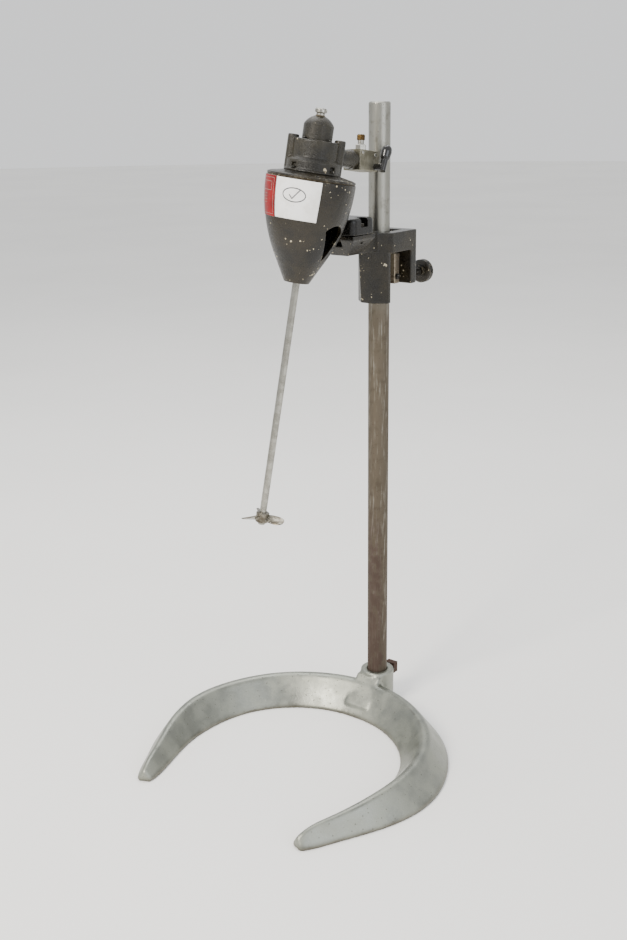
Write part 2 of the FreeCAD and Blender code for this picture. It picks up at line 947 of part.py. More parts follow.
def make_clamp_screw():
    along = Placement(Vector(0, 0, num("screw_z")), ALONG_Y)
    body = new_body("screw")
    turn(
        body,
        [
            ("0", "pad_out_y - 3.8"),
            ("screw_tip_r", "pad_out_y - 3.8"),
            ("screw_tip_r", "pad_out_y + 0.1"),
            ("screw_r", "pad_out_y + 0.1"),
            ("screw_r", "knob_y"),
            ("screw_r - 0.9", "knob_y"),
            ("screw_r - 0.9", "screw_end_y"),
            ("0", "screw_end_y"),
        ],
    )
    pin_y = "(knob_disc_y + knob_end_y) / 2"
    pocket(body, "YZ_Plane", "-screw_r", "screw_r", ("0", pin_y, "knob_pin_r"))
    keep(body, "clamp_screw", along)
    knob = new_body("knob")
    groove = "knob_r - 1.2"
    turn(
        knob,
        [
            ("screw_r - 0.9", "knob_y"),
            ("knob_hub_r", "knob_y"),
            ("knob_hub_r", "knob_disc_y"),
            ("knob_r - 1.5", "knob_disc_y"),
            ("knob_r", "knob_disc_y + 1.2"),
            ("knob_r", "knob_disc_y + 2.6"),
            (groove, "knob_disc_y + 3.0"),
            (groove, "knob_disc_y + 3.6"),
            ("knob_r", "knob_disc_y + 4.0"),
            ("knob_r", "knob_disc_y + 5.6"),
            (groove, "knob_disc_y + 6.0"),
            (groove, "knob_disc_y + 6.6"),
            ("knob_r", "knob_disc_y + 7.0"),
            ("knob_r", "knob_end_y - 1.2"),
            ("knob_r - 1.5", "knob_end_y"),
            ("0", "knob_end_y"),
            ("0", "screw_end_y"),
            ("screw_r - 0.9", "screw_end_y"),
        ],
    )
    pocket(knob, "YZ_Plane", "-knob_r - 1", "knob_r + 1", ("0", pin_y, "knob_pin_r"))
    keep(knob, "clamp_knob", along)
    pin = new_body("pin")
    turn(
        pin,
        [("0", "-12.5"), ("knob_pin_r", "-12.5"), ("knob_pin_r", "12.5"), ("0", "12.5")],
    )
    keep(pin, "knob_pin", Placement(Vector(0, num(pin_y), num("screw_z")), ALONG_X))


# ---------------------------------------------------------------- ball and arm


def make_ball():
    """The ball, drawn along the arm: its local Z points at the motor casing."""
    body = new_body("ball")
    bore = "arm_pin_r + run_gap"
    edge = "sqrt(ball_r ^ 2 - (arm_pin_r + run_gap) ^ 2)"
    turn(
        body,
        [
            ("0", "-ball_r", "ball_r", "left"),
            (bore, edge),
            (bore, "-8"),
            ("0", "-8"),
        ],
    )
    keep(body, "swivel_ball", ARM)


def make_arm():
    """Ball pin, stub and flange in one turned piece, then the nut inside the casing."""
    face = num("arm_reach") - 43.5
    turned(
        "swivel_arm",
        [
            ("0", "-7.5"),
            ("arm_pin_r", "-7.5"),
            ("arm_pin_r", "ball_r + 1.5"),
            ("arm_r", "ball_r + 1.5"),
            ("arm_r", f"{face - 2.6:.3f}"),
            ("11", f"{face - 2.6:.3f}"),
            ("11", f"{face:.3f}"),
            ("5", f"{face:.3f}"),
            ("5", f"{face + 15.2:.3f}"),
            ("0", f"{face + 15.2:.3f}"),
        ],
        ARM,
    )
    nut = new_body("arm_nut")
    pad(nut, "XY_Plane", f"{face + 9.5:.3f}", f"{face + 14.0:.3f}", hexagon("13"))
    pocket(nut, "XY_Plane", f"{face + 9:.3f}", f"{face + 15:.3f}", ("0", "0", "5"))
    keep(nut, "arm_nut", ARM)


# ---------------------------------------------------------------- casing


def casing_point(radius_drop, angle):
    """A point on the ogive's arc, moved inward by radius_drop."""
    radius = f"(ogive_r - {radius_drop})"
    x = f"casing_r - ogive_r + {radius} * cos({angle})"
    z = f"ogive_z - {radius} * sin({angle})"
    return x, z


def at_turn(ring, degrees):
    """A point on a ring about the spindle, as expressions."""
    turn_by = math.radians(degrees)
    return (f"{ring} * {math.cos(turn_by):.6f}", f"{ring} * {math.sin(turn_by):.6f}")


def foot_screw_spot(radius):
    """The first of the four motor foot screws, between the two lobes."""
    return (*at_turn("foot_screw_ring", num("screw_turn")), radius)


def cover_hole(radius):
    """The first of the four cover screw holes, midway between the window and the arm."""
    spot = f"cover_screw_ring * {math.sqrt(0.5):.6f}"
    return (spot, spot, radius)


def make_casing():
    body = new_body("casing")
    outer_end = casing_point("0", "ogive_turn")
    inner_end = casing_point("wall", "ogive_turn")
    floor_z = "nose_z + nose_wall"
    inner_floor_r = (
        f"{inner_end[0]} - ({inner_end[1]} - ({floor_z})) * tan(ogive_turn)"
    )
    turn(
        body,
        [
            ("bush_r", "nose_z"),
            ("nose_r", "nose_z"),
            (*outer_end, "ogive_r", "left"),
            ("casing_r", "ogive_z"),
            ("casing_r", "casing_top - 1"),
            ("casing_r - 1", "casing_top"),
            ("ledge_r", "casing_top"),
            ("ledge_r", "casing_top - 8"),
            ("casing_r - wall - 0.2", "casing_top - 13", "ogive_r - wall", "right"),
            inner_end,
            (inner_floor_r, floor_z),
            ("bush_r", floor_z),
        ],
    )
    pad(body, "XZ_Plane", "34", "43.5", ("0", "-arm_drop", "12"))
    pocket(
        body,
        "YZ_Plane",
        "-casing_r - 1",
        "casing_r + 1",
        [
            ("0", "window_point_z"),
            ("window_w", "window_wide_z", "window_arch_r", "left"),
            ("-window_w", "window_wide_z"),
        ],
    )
    pocket(body, "XZ_Plane", "30", "50", ("0", "-arm_drop", "5"))
    pocket(body, "XZ_Plane", "43.5", "52", ("0", "-arm_drop", "11.4"))
    hole = pocket(body, "XY_Plane", "casing_top - 7", "casing_top", cover_hole("1.5"))
    ring_of(body, hole, 4)
    keep(body, "lower_casing", HEAD)


def make_casing_parts():
    gasket = new_body("gasket")
    turn(
        gasket,
        [
            ("ledge_r", "casing_top"),
            ("casing_r - 1.2", "casing_top"),
            ("casing_r - 1.2", "cover_low"),
            ("ledge_r", "cover_low"),
        ],
    )
    hole = pocket(gasket, "XY_Plane", "casing_top", "cover_low", cover_hole("1.5"))
    ring_of(gasket, hole, 4)
    keep(gasket, "cover_gasket", HEAD)

    cover = new_body("cover")
    turn(
        cover,
        [
            ("cover_bore_r", "cover_low"),
            ("34", "cover_low"),
            ("34", "cover_low - 3"),
            ("ledge_r - 0.2", "cover_low - 3"),
            ("ledge_r - 0.2", "cover_low"),
            ("cover_edge_r - 0.6", "cover_low"),
            ("cover_edge_r", "cover_low + 0.8"),
            ("cover_edge_r - 0.8", "cover_low + 2.2"),
            ("cover_edge_r - 4", "cover_low + 3.4"),
            ("cover_step_r", "cover_high"),
            ("cover_bore_r", "cover_high"),
        ],
    )
    seat = pocket(cover, "XY_Plane", "0.8", "cover_high", cover_hole("2.8"))
    ring_of(cover, seat, 4)
    hole = pocket(cover, "XY_Plane", "cover_low", "cover_high", cover_hole("1.5"))
    ring_of(cover, hole, 4)
    hole = pocket(cover, "XY_Plane", "cover_low", "cover_high", foot_screw_spot("1.5"))
    ring_of(cover, hole, 4)
    keep(cover, "casing_cover", HEAD)

    screw = screw_piece("cover_screw", "1.5", "7", "2.7", "1.9")
    places = around(4, num("cover_screw_ring"), 0.8, 45.0)
    group("cover_screws", screw, places, HEAD)

    turned(
        "shaft_bush",
        [
            ("shaft_r + run_gap", "nose_z"),
            ("bush_r", "nose_z"),
            ("bush_r", "nose_z + nose_wall"),
            ("shaft_r + run_gap", "nose_z + nose_wall"),
        ],
        HEAD,
    )
    turned(
        "spindle_seal",
        [
            ("spindle_r + run_gap", "cover_low"),
            ("cover_bore_r", "cover_low"),
            ("cover_bore_r", "cover_high - 0.3"),
            ("spindle_r + run_gap", "cover_high - 0.3"),
        ],
        HEAD,
    )


def make_label(label, first, last, clearance):
    """A thin sheet that follows the casing between two angles round the stirring axis."""
    body = new_body(label)
    low = "label_high - label_tall"
    inside = f"{clearance}"
    outside = f"({clearance} + label_thick)"
    swing = "asin((ogive_z - (label_high - label_tall)) / ogive_r)"
    inner = (
        f"casing_r - ogive_r + (ogive_r + {inside}) * cos({swing})",
        f"ogive_z - (ogive_r + {inside}) * sin({swing})",
    )
    outer = (
        f"casing_r - ogive_r + (ogive_r + {outside}) * cos({swing})",
        f"ogive_z - (ogive_r + {outside}) * sin({swing})",
    )
    sketch = new_sketch(body, "XZ_Plane", "0")
    outline(
        sketch,
        [
            (f"casing_r + {inside}", "label_high"),
            (f"casing_r + {inside}", "ogive_z", f"ogive_r + {inside}", "right"),
            inner,
            (*outer, f"ogive_r + {outside}", "left"),
            (f"casing_r + {outside}", "ogive_z"),
            (f"casing_r + {outside}", "label_high"),
        ],
    )
    sheet_turn = body.newObject("PartDesign::Revolution", label + "_turn")
    sheet_turn.Profile = sketch
    sheet_turn.ReferenceAxis = (sketch, ["V_Axis"])
    sheet_turn.Angle = last - first
    start = Rotation(Vector(0, 0, 1), first)
    keep(body, label, HEAD * Placement(Vector(), start))


# ---------------------------------------------------------------- motor


def make_motor_body():
    body = new_body("motor")
    turn(
        body,
        [
            ("0", "cover_high"),
            ("foot_r", "cover_high"),
            ("foot_r", "foot_top - 0.8"),
            ("foot_r - 0.8", "foot_top"),
            ("collar_r", "foot_top"),
            ("collar_r", "collar_top"),
            ("core_r", "collar_top + 4"),
            ("core_r", "core_top - 1"),
            ("core_r - 1", "core_top"),
            ("0", "core_top"),
        ],
    )
    # two air passages run up the wall, on opposite sides
    lobe_x, lobe_y = at_turn("lobe_ring", num("lobe_turn"))
    lobe = pad(
        body, "XY_Plane", "foot_top", "lobe_top", (lobe_x, lobe_y, "lobe_r")
    )
    ring_of(body, lobe, 2)
    dress(body, "Fillet", "1.6", level_edge(num("lobe_top")))
    pocket(body, "XY_Plane", "cover_high", "cavity_top", ("0", "0", "cavity_r"))
    pocket(body, "XY_Plane", "cavity_top", "core_top", ("0", "0", "cover_bore_r"))
    recess_spot = foot_screw_spot("foot_pocket_r")
    recess = pocket(body, "XY_Plane", "foot_top", "foot_pocket_top", recess_spot)
    ring_of(body, recess, 4)
    hole = pocket(body, "XY_Plane", "cover_high", "foot_top", foot_screw_spot("1.5"))
    ring_of(body, hole, 4)
    pocket(body, "XZ_Plane", "neck_in", "40", ("0", "neck_z", "neck_r"))
    pocket(body, "XZ_Plane", "cavity_r - 3", "neck_in + 1", ("0", "neck_z", "air_r"))
    # slots in the lower wall let the spent air out
    pocket(
        body,
        "YZ_Plane",
        "-40",
        "-cavity_r + 2",
        corners_of("-6.5", "6.5", "20", "23"),
    )
    top_x, top_y = at_turn("top_screw_ring", num("screw_turn"))
    hole = pocket(body, "XY_Plane", "cavity_top", "core_top", (top_x, top_y, "1.2"))
    ring_of(body, hole, 4)
    keep(body, "motor_body", HEAD)

    foot_screw = screw_piece("foot_screw", "1.5", "6", "2.6", "2.4")
    places = around(4, num("foot_screw_ring"), num("foot_top"), num("screw_turn"))
    group("motor_body_screws", foot_screw, places, HEAD)


def make_top_cover():
    wall = "dome_wall"
    turned(
        "top_cover",
        [
            ("7", "cavity_top + 0.5"),
            ("cover_bore_r - 0.1", "cavity_top + 0.5"),
            ("cover_bore_r - 0.1", "core_top"),
            ("dome_r", "core_top"),
            ("dome_r", "dome_side_top", "20", "left"),
            ("dome_cap_r", "dome_top"),
            ("3.5", "dome_top"),
            ("3.5", "dome_top - 4"),
            (f"dome_r - {wall}", "dome_side_top - 2"),
            (f"dome_r - {wall}", "core_top + 4"),
            ("7", "core_top + 1"),
        ],
        HEAD,
    )
    turned(
        "oil_plug_washer",
        [
            ("3.5", "dome_top"),
            ("plug_neck_r + 0.6", "dome_top"),
            ("plug_neck_r + 0.6", "dome_top + 0.8"),
            ("3.5", "dome_top + 0.8"),
        ],
        HEAD,
    )
    body = new_body("oil_plug")
    turn(
        body,
        [
            ("0", "dome_top - 6"),
            ("3.5", "dome_top - 6"),
            ("3.5", "dome_top + 0.8"),
            ("plug_neck_r", "dome_top + 0.8"),
            ("plug_neck_r", "plug_head_low"),
            ("plug_head_r", "plug_head_low + 1"),
            ("plug_head_r", "plug_head_high - 1.2"),
            ("plug_head_r - 1.2", "plug_head_high"),
            ("0", "plug_head_high"),
        ],
    )
    pocket(
        body,
        "XY_Plane",
        "plug_head_high - 1.6",
        "plug_head_high",
        corners_of("-plug_head_r", "plug_head_r", "-0.8", "0.8"),
    )
    keep(body, "oil_plug", HEAD)
    screw = screw_piece("top_screw", "1.2", "3.6", "2.2", "1.8")
    places = around(4, num("top_screw_ring"), num("core_top"), num("screw_turn"))
    group("top_screws", screw, places, HEAD)


def end_plate(label, low, high, bearing_low):
    """A plate that closes the vane chamber and holds one bearing."""
    body = new_body(label)
    pad(body, "XY_Plane", low, high, ("0", "0", "plate_r"))
    pocket(body, "XY_Plane", low, high, ("0", "0", "inner_ring_r + 0.6"))
    pocket(
        body,
        "XY_Plane",
        bearing_low,
        f"{bearing_low} + bearing_len",
        ("0", "0", "bearing_r"),
    )
    return body


def make_motor_inside():
    keep(
        end_plate(
            "lower_end_plate", "lower_plate_low", "lower_plate_high", "lower_bearing_low"
        ),
        "lower_end_plate",
        HEAD,
    )
    keep(
        end_plate(
            "upper_end_plate", "upper_plate_low", "upper_plate_high", "upper_bearing_low"
        ),
        "upper_end_plate",
        HEAD,
    )
    liner = new_body("liner")
    pad(liner, "XY_Plane", "lower_plate_high", "upper_plate_low", ("0", "0", "plate_r"))
    pocket(
        liner,
        "XY_Plane",
        "lower_plate_high",
        "upper_plate_low",
        ("0", "liner_shift", "liner_bore"),
    )
    pocket(liner, "XZ_Plane", "15", "plate_r + 1", ("0", "neck_z", "air_r"))
    keep(liner, "cylinder_liner", HEAD)

    middle = "bearing_len / 2"
    outer_bite = "sqrt(groove_r ^ 2 - (bearing_in_r - ball_ring) ^ 2)"
    inner_bite = "sqrt(groove_r ^ 2 - (ball_ring - inner_ring_r) ^ 2)"
    outer = new_body("outer_ring")
    turn(
        outer,
        [
            ("bearing_in_r", "0"),
            ("bearing_r", "0"),
            ("bearing_r", "bearing_len"),
            ("bearing_in_r", "bearing_len"),
            ("bearing_in_r", f"{middle} + {outer_bite}", "groove_r", "right"),
            ("bearing_in_r", f"{middle} - {outer_bite}"),
        ],
    )
    inner = new_body("inner_ring")
    turn(
        inner,
        [
            ("spindle_r", "0"),
            ("inner_ring_r", "0"),
            ("inner_ring_r", f"{middle} - {inner_bite}", "groove_r", "right"),
            ("inner_ring_r", f"{middle} + {inner_bite}"),
            ("inner_ring_r", "bearing_len"),
            ("spindle_r", "bearing_len"),
        ],
    )
    levels = [num("lower_bearing_low"), num("upper_bearing_low")]
    seats = [Placement(Vector(0, 0, level), Rotation()) for level in levels]
    group("bearing_outer_rings", outer, seats, HEAD)
    group("bearing_inner_rings", inner, seats, HEAD)
    ball = doc.addObject("Part::Sphere", "bearing_ball")
    ball.setExpression("Radius", bound("bearing_ball_r"))
    places = []
    for level in levels:
        places += around(7, num("ball_ring"), level + num(middle))
    group("bearing_balls", ball, places, HEAD)

    rotor = new_body("rotor")
    pad(rotor, "XY_Plane", "rotor_low", "rotor_high", ("0", "0", "rotor_r"))
    pocket(rotor, "XY_Plane", "rotor_low", "rotor_high", ("0", "0", "spindle_r"))
    slot = pocket(
        rotor,
        "XY_Plane",
        "rotor_low",
        "rotor_high",
        corners_of("vane_in - 0.2", "rotor_r + 1", "-vane_wide / 2", "vane_wide / 2"),
    )
    ring_of(rotor, slot, 5)
    pocket(
        rotor,
        "XY_Plane",
        "rotor_low",
        "rotor_high",
        corners_of(
            "-(spindle_r + 1)", "-(spindle_r - 1)", "-key_wide / 2", "key_wide / 2"
        ),
    )
    keep(rotor, "rotor", HEAD)

    vane = doc.addObject("Part::Box", "vane")
    vane.setExpression("Length", bound("vane_out - vane_in"))
    vane.setExpression("Width", bound("vane_wide"))
    vane.setExpression("Height", bound("rotor_high - rotor_low"))
    places = []
    for place in around(5, 0, num("rotor_low")):
        shift = Vector(num("vane_in"), -num("vane_wide") / 2, 0)
        places.append(place * Placement(shift, Rotation()))
    group("vanes", vane, places, HEAD)

    key = doc.addObject("Part::Box", "key_box")
    key.setExpression("Length", bound("2"))
    key.setExpression("Width", bound("key_wide"))
    key.setExpression("Height", bound("key_high - key_low"))
    corner = Vector(-num("spindle_r + 1"), -num("key_wide") / 2, num("key_low"))
    keep(key, "rotor_key", HEAD * Placement(corner, Rotation()))

    spindle = new_body("spindle")
    turn(
        spindle,
        [
            ("0", "spindle_low"),
            ("spindle_r", "spindle_low"),
            ("spindle_r", "spindle_top - 0.6"),
            ("spindle_r - 0.6", "spindle_top"),
            ("0", "spindle_top"),
        ],
    )
    pocket(
        spindle,
        "XY_Plane",
        "key_low",
        "key_high",
        corners_of(
            "-(spindle_r + 1)", "-(spindle_r - 1)", "-key_wide / 2", "key_wide / 2"
        ),
    )
    keep(spindle, "output_spindle", HEAD)


# ---------------------------------------------------------------- chuck, shaft, propeller


def make_shaft_line():
    chuck = new_body("chuck")
    turn(
        chuck,
        [
            ("spindle_r", "chuck_low"),
            ("chuck_nose_r - 1", "chuck_low"),
            ("chuck_nose_r", "chuck_low + 1"),
            ("chuck_r", "chuck_step"),
            ("chuck_r", "chuck_high - 1.5"),
            ("chuck_r - 1.5", "chuck_high"),
            ("spindle_r", "chuck_high"),
        ],
    )
    for level in ("chuck_high - 6", "chuck_step + 5"):
        pocket(chuck, "YZ_Plane", "spindle_r - 1", "chuck_r + 1", ("0", level, "2"))
    keep(chuck, "chuck_body", HEAD)

    screw = new_body("chuck_screw")
    turn(
        screw,
        [("0", "spindle_r"), ("2", "spindle_r"), ("2", "chuck_r - 0.8"), ("0", "chuck_r - 0.8")],
    )
    pocket(screw, "XY_Plane", "chuck_r - 3", "chuck_r", hexagon("2"))
    places = [
        Placement(Vector(0, 0, num(level)), ALONG_X)
        for level in ("chuck_high - 6", "chuck_step + 5")
    ]
    group("chuck_setscrews", screw, places, HEAD)

    turned(
        "mixing_shaft",
        [
            ("0", "shaft_low"),
            ("shaft_r - 0.5", "shaft_low"),
            ("shaft_r", "shaft_low + 0.5"),
            ("shaft_r", "spindle_low"),
            ("0", "spindle_low"),
        ],
        HEAD,
    )


def blade_section(body, radius, chord, pitch, thick):
    """A thin blade section that stands across the blade at the given radius."""
    sketch = new_sketch(body, "YZ_Plane", radius)
    half, lift = chord / 2, thick / 2
    nose = half * 0.85
    tilted = math.radians(pitch)
    flat = [(half, 0), (nose, lift), (-nose, lift), (-half, 0), (-nose, -lift), (nose, -lift)]
    corners = [
        (
            f"{x * math.cos(tilted) - y * math.sin(tilted):.4f}",
            f"{x * math.sin(tilted) + y * math.cos(tilted):.4f}",
        )
        for x, y in flat
    ]
    return outline(sketch, corners)


def make_propeller():
    body = new_body("propeller")
    turn(
        body,
        [
            ("shaft_r", "-prop_hub_half"),
            ("prop_hub_r - 1", "-prop_hub_half"),
            ("prop_hub_r", "-prop_hub_half + 1"),
            ("prop_hub_r", "prop_hub_half - 1"),
            ("prop_hub_r - 1", "prop_hub_half"),
            ("shaft_r", "prop_hub_half"),
        ],
    )
    # radius as a share of the tip, chord, pitch angle and thickness from root to tip
    stations = [
        (0.20, 8.5, 44.0, 2.6),
        (0.40, 12.0, 36.0, 2.0),
        (0.65, 14.0, 29.0, 1.7),
        (0.88, 12.0, 25.0, 1.5),
        (0.97, 8.0, 23.5, 1.3),
        (1.00, 4.5, 23.0, 1.1),
    ]
    sections = [
        blade_section(body, f"prop_r * {share}", chord, pitch, thick)
        for share, chord, pitch, thick in stations
    ]
    blade = body.newObject("PartDesign::AdditiveLoft", "propeller_blade")
    blade.Profile = sections[0]
    blade.Sections = sections[1:]
    ring_of(body, blade, 3)
    pocket(
        body, "XY_Plane", "-prop_hub_half - 3", "prop_hub_half + 3", ("0", "0", "shaft_r")
    )
    pocket(body, "XZ_Plane", "shaft_r - 1", "prop_hub_r + 1", ("0", "0", "1.5"))
    spin = Rotation(Vector(0, 0, 1), num("prop_phase"))
    place = HEAD * Placement(Vector(0, 0, num("prop_z")), spin)
    keep(body, "propeller", place)
    screw = new_body("propeller_screw")
    turn(
        screw,
        [("0", "shaft_r"), ("1.5", "shaft_r"), ("1.5", "prop_hub_r - 0.6"), ("0", "prop_hub_r - 0.6")],
    )
    keep(screw, "propeller_setscrew", place * Placement(Vector(), ALONG_Y))


# ---------------------------------------------------------------- air inlet


def make_inlet():
    turned(
        "inlet_neck",
        [
            ("air_r", "neck_in"),
            ("neck_r", "neck_in"),
            ("neck_r", "neck_flange_y - 2"),
            ("neck_flange_r - 0.4", "neck_flange_y"),
            ("neck_flange_r - 0.4", "neck_out"),
            ("air_r", "neck_out"),
        ],
        HEAD * Placement(Vector(0, 0, num("neck_z")), ALONG_Y),
    )
    block = new_body("valve_block")
    pad(
        block,
        "XZ_Plane",
        "valve_in_y",
        "valve_out_y",
        corners_of("-valve_x", "valve_x", "valve_low", "valve_high"),
    )
    dress(block, "Fillet", "1.2", lambda e: e.BoundBox.YLength > 30)
    pocket(block, "XZ_Plane", "valve_in_y", "union_y + 4", ("0", "0", "air_r"))
    down = ("0", "union_y", "union_bore_r - 0.4")
    pocket(block, "XY_Plane", "spool_z - 2", "valve_high", down)
    pocket(block, "XZ_Plane", "union_y", "spool_y", ("0", "spool_z", "valve_port_r"))
    pocket(
        block, "XY_Plane", "union_foot_z", "valve_high", ("0", "union_y", "union_foot_r")
    )
    pocket(
        block,
        "YZ_Plane",
        "-8",
        "valve_x",
        ("spool_y", "spool_z", "spool_r + run_gap"),
    )
    screw_spots = [
        ("valve_in_y + 5", "valve_high - 3.6"),
        ("valve_out_y - 4.5", "valve_high - 4.5"),
    ]
    for spot_y, spot_z in screw_spots:
        pocket(block, "YZ_Plane", "valve_x - 8", "valve_x", (spot_y, spot_z, "1.2"))
    keep(block, "valve_block", VALVE)

    screw = screw_piece("valve_screw", "1.2", "7", "2.0", "1.2")
    places = [
        Placement(Vector(num("valve_x"), num(spot_y), num(spot_z)), ALONG_X)
        for spot_y, spot_z in screw_spots
    ]
    group("valve_screws", screw, places, VALVE)

    above = VALVE * Placement(Vector(0, num("union_y"), 0), Rotation())
    union = new_body("union")
    pad(union, "XY_Plane", "valve_high", "union_hex_top", hexagon("union_hex"))
    dress(union, "Chamfer", "0.7", level_edge(num("union_hex_top")))
    pad(union, "XY_Plane", "union_foot_z", "valve_high", ("0", "0", "union_foot_r"))
    pad(union, "XY_Plane", "union_hex_top", "union_top", ("0", "0", "union_tube_r"))
    pocket(union, "XY_Plane", "union_foot_z", "union_top", ("0", "0", "union_bore_r"))
    keep(union, "inlet_union", above)
    turned(
        "union_ring",
        [
            ("union_tube_r + run_gap", "ring_low"),
            ("ring_r - 0.6", "ring_low"),
            ("ring_r", "ring_low + 0.6"),
            ("ring_r", "union_top - 1.2"),
            ("ring_r - 0.6", "union_top - 0.6"),
            ("union_tube_r + run_gap", "union_top - 0.6"),
        ],
        above,
    )


def make_lever():
    spool = new_body("spool")
    turn(
        spool,
        [
            ("0", "-7.5"),
            ("spool_r", "-7.5"),
            ("spool_r", "valve_x"),
            ("2.5", "valve_x"),
            ("2.5", "lever_x - 2"),
            ("0", "lever_x - 2"),
        ],
    )
    pocket(spool, "YZ_Plane", "-4", "4", ("0", "0", "1.4"))
    spool_place = LEVER * Placement(Vector(), ALONG_X)
    keep(spool, "valve_spool", spool_place)

    lever = new_body("lever")
    sketch = new_sketch(lever, "XZ_Plane", "-lever_offset")
    sketch.setExpression("AttachmentOffset.Base.x", bound("lever_x"))
    dome_radius = "(lever_end_r ^ 2 + lever_dome ^ 2) / (2 * lever_dome)"
    outline(
        sketch,
        [
            ("0", "lever_foot"),
            ("lever_stem_r", "lever_foot"),
            ("lever_stem_r", "lever_tip * 0.33"),
            ("lever_grip_r - 0.7", "lever_tip * 0.45"),
            ("lever_grip_r", "lever_tip * 0.7"),
            ("lever_end_r", "lever_tip - lever_dome", dome_radius, "left"),
            ("0", "lever_tip"),
        ],
    )
    grip = lever.newObject("PartDesign::Revolution", "lever_grip")
    grip.Profile = sketch
    grip.ReferenceAxis = (sketch, ["V_Axis"])
    grip.Angle = 360.0
    pad(lever, "YZ_Plane", "valve_x + 0.6", "lever_x + 1", ("0", "0", "3.6"))
    pocket(lever, "YZ_Plane", "valve_x", "lever_x - 2", ("0", "0", "2.5"))
    keep(lever, "toggle_lever", LEVER)


# ---------------------------------------------------------------- build and write

make_base()
make_setscrew()
make_rod()
make_clamp_frame()
make_socket_cap()
make_socket_fasteners()
make_pad()
make_clamp_screw()
make_ball()
make_arm()
make_casing()
make_casing_parts()
make_label("nameplate", -152.0, -101.0, "0.02")
make_label("paper_label", -100.0, -38.0, "0.02")
make_motor_body()
make_top_cover()
make_motor_inside()
make_shaft_line()
make_propeller()
make_inlet()
make_lever()
doc.recompute()

faults = []
for item in doc.Objects:
    if any(word in item.State for word in ("Invalid", "Error")):
        faults.append(f"{item.Label}: {item.State}")
for part in parts:
    if part.Shape.isNull() or not part.Shape.isValid() or not part.Shape.Solids:
        faults.append(f"{part.Label}: no valid shape")
if faults:
    raise RuntimeError("\n".join(faults))

os.makedirs("parts", exist_ok=True)
for part in parts:
    part.Shape.exportStep(f"parts/{part.Label}.step")
print(f"{len(parts)} sub-parts written")
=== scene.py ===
import math

import bpy
from mathutils import Matrix, Vector, noise
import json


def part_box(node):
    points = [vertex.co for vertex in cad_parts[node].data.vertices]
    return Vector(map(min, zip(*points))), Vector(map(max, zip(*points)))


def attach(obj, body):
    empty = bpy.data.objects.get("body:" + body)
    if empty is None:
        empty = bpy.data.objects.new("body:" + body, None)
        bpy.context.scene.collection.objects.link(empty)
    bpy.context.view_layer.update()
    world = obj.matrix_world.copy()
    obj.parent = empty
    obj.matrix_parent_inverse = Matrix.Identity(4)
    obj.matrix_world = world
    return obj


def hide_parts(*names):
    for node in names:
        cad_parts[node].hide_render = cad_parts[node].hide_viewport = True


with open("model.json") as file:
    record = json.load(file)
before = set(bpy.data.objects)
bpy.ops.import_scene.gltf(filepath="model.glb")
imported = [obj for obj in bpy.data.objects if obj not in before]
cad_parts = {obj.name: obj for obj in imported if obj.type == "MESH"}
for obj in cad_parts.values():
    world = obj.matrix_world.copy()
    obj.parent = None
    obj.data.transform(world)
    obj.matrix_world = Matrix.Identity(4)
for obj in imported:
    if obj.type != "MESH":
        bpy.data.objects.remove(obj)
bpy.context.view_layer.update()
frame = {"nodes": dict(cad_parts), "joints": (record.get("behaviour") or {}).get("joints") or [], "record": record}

MM = 0.001
joints = {joint["name"]: joint for joint in frame["joints"]}


def axis_of(joint):
    """The point and direction that a joint turns or slides about."""
    found = joints[joint]
    return Vector(found.get("pos_m", (0, 0, 0))), Vector(found["axis"]).normalized()


def axes(origin, along, side):
    """A frame at origin with its Z along one direction and its X as near as can be to side."""
    z = along.normalized()
    y = z.cross(side).normalized()
    x = y.cross(z)
    turned = Matrix((x, y, z)).transposed().to_4x4()
    return Matrix.Translation(origin) @ turned


# ---------------------------------------------------------------- where things are

RIGHT = Vector((1, 0, 0))
UP = Vector((0, 0, 1))
spindle_point, spindle_line = axis_of("spindle_spin")
HEAD = axes(spindle_point, spindle_line, RIGHT)

casing_low, casing_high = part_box("lower_casing")
CASING_R = (casing_high.x - casing_low.x) / 2
OGIVE_R = 170 * MM
OGIVE_TOP = -5 * MM


def casing_radius(height):
    """The casing's radius at a height along the spindle, metres below its top flange."""
    fall = max(0.0, OGIVE_TOP - height)
    return CASING_R - OGIVE_R + math.sqrt(OGIVE_R**2 - fall**2)


def on_casing(degrees, height, lift=0.0):
    """A point on the casing's skin, degrees round from +X, lifted off it by so much."""
    radius = casing_radius(height) + lift
    turn = math.radians(degrees)
    return HEAD @ Vector((radius * math.cos(turn), radius * math.sin(turn), height))


# ---------------------------------------------------------------- materials


def paint(code):
    """An sRGB hex colour as the linear values that Blender takes."""
    parts = [int(code[i : i + 2], 16) / 255 for i in (1, 3, 5)]
    return (
        *(p / 12.92 if p <= 0.04045 else ((p + 0.055) / 1.055) ** 2.4 for p in parts),
        1.0,
    )


def add(tree, kind, inputs=None, **settings):
    """Adds a node with its settings, and gives each input a value or a link."""
    made = tree.nodes.new("ShaderNode" + kind)
    for name, value in settings.items():
        setattr(made, name, value)
    for socket, value in (inputs or {}).items():
        if isinstance(value, bpy.types.NodeSocket):
            tree.links.new(value, made.inputs[socket])
        else:
            made.inputs[socket].default_value = value
    return made


def per(mm):
    """The scale at which a pattern repeats about every so many millimetres."""
    return 1 / (mm * MM)


def start(name, **values):
    """A new material with its shader's uniform values, and the place that patterns read."""
    material = bpy.data.materials.new(name)
    material.use_nodes = True
    tree = material.node_tree
    tree.nodes.clear()
    shader = add(tree, "BsdfPrincipled", {k.replace("_", " "): v for k, v in values.items()})
    add(tree, "OutputMaterial", {"Surface": shader.outputs[0]})
    place = add(tree, "TexCoord").outputs["Object"]
    return material, tree, shader, place


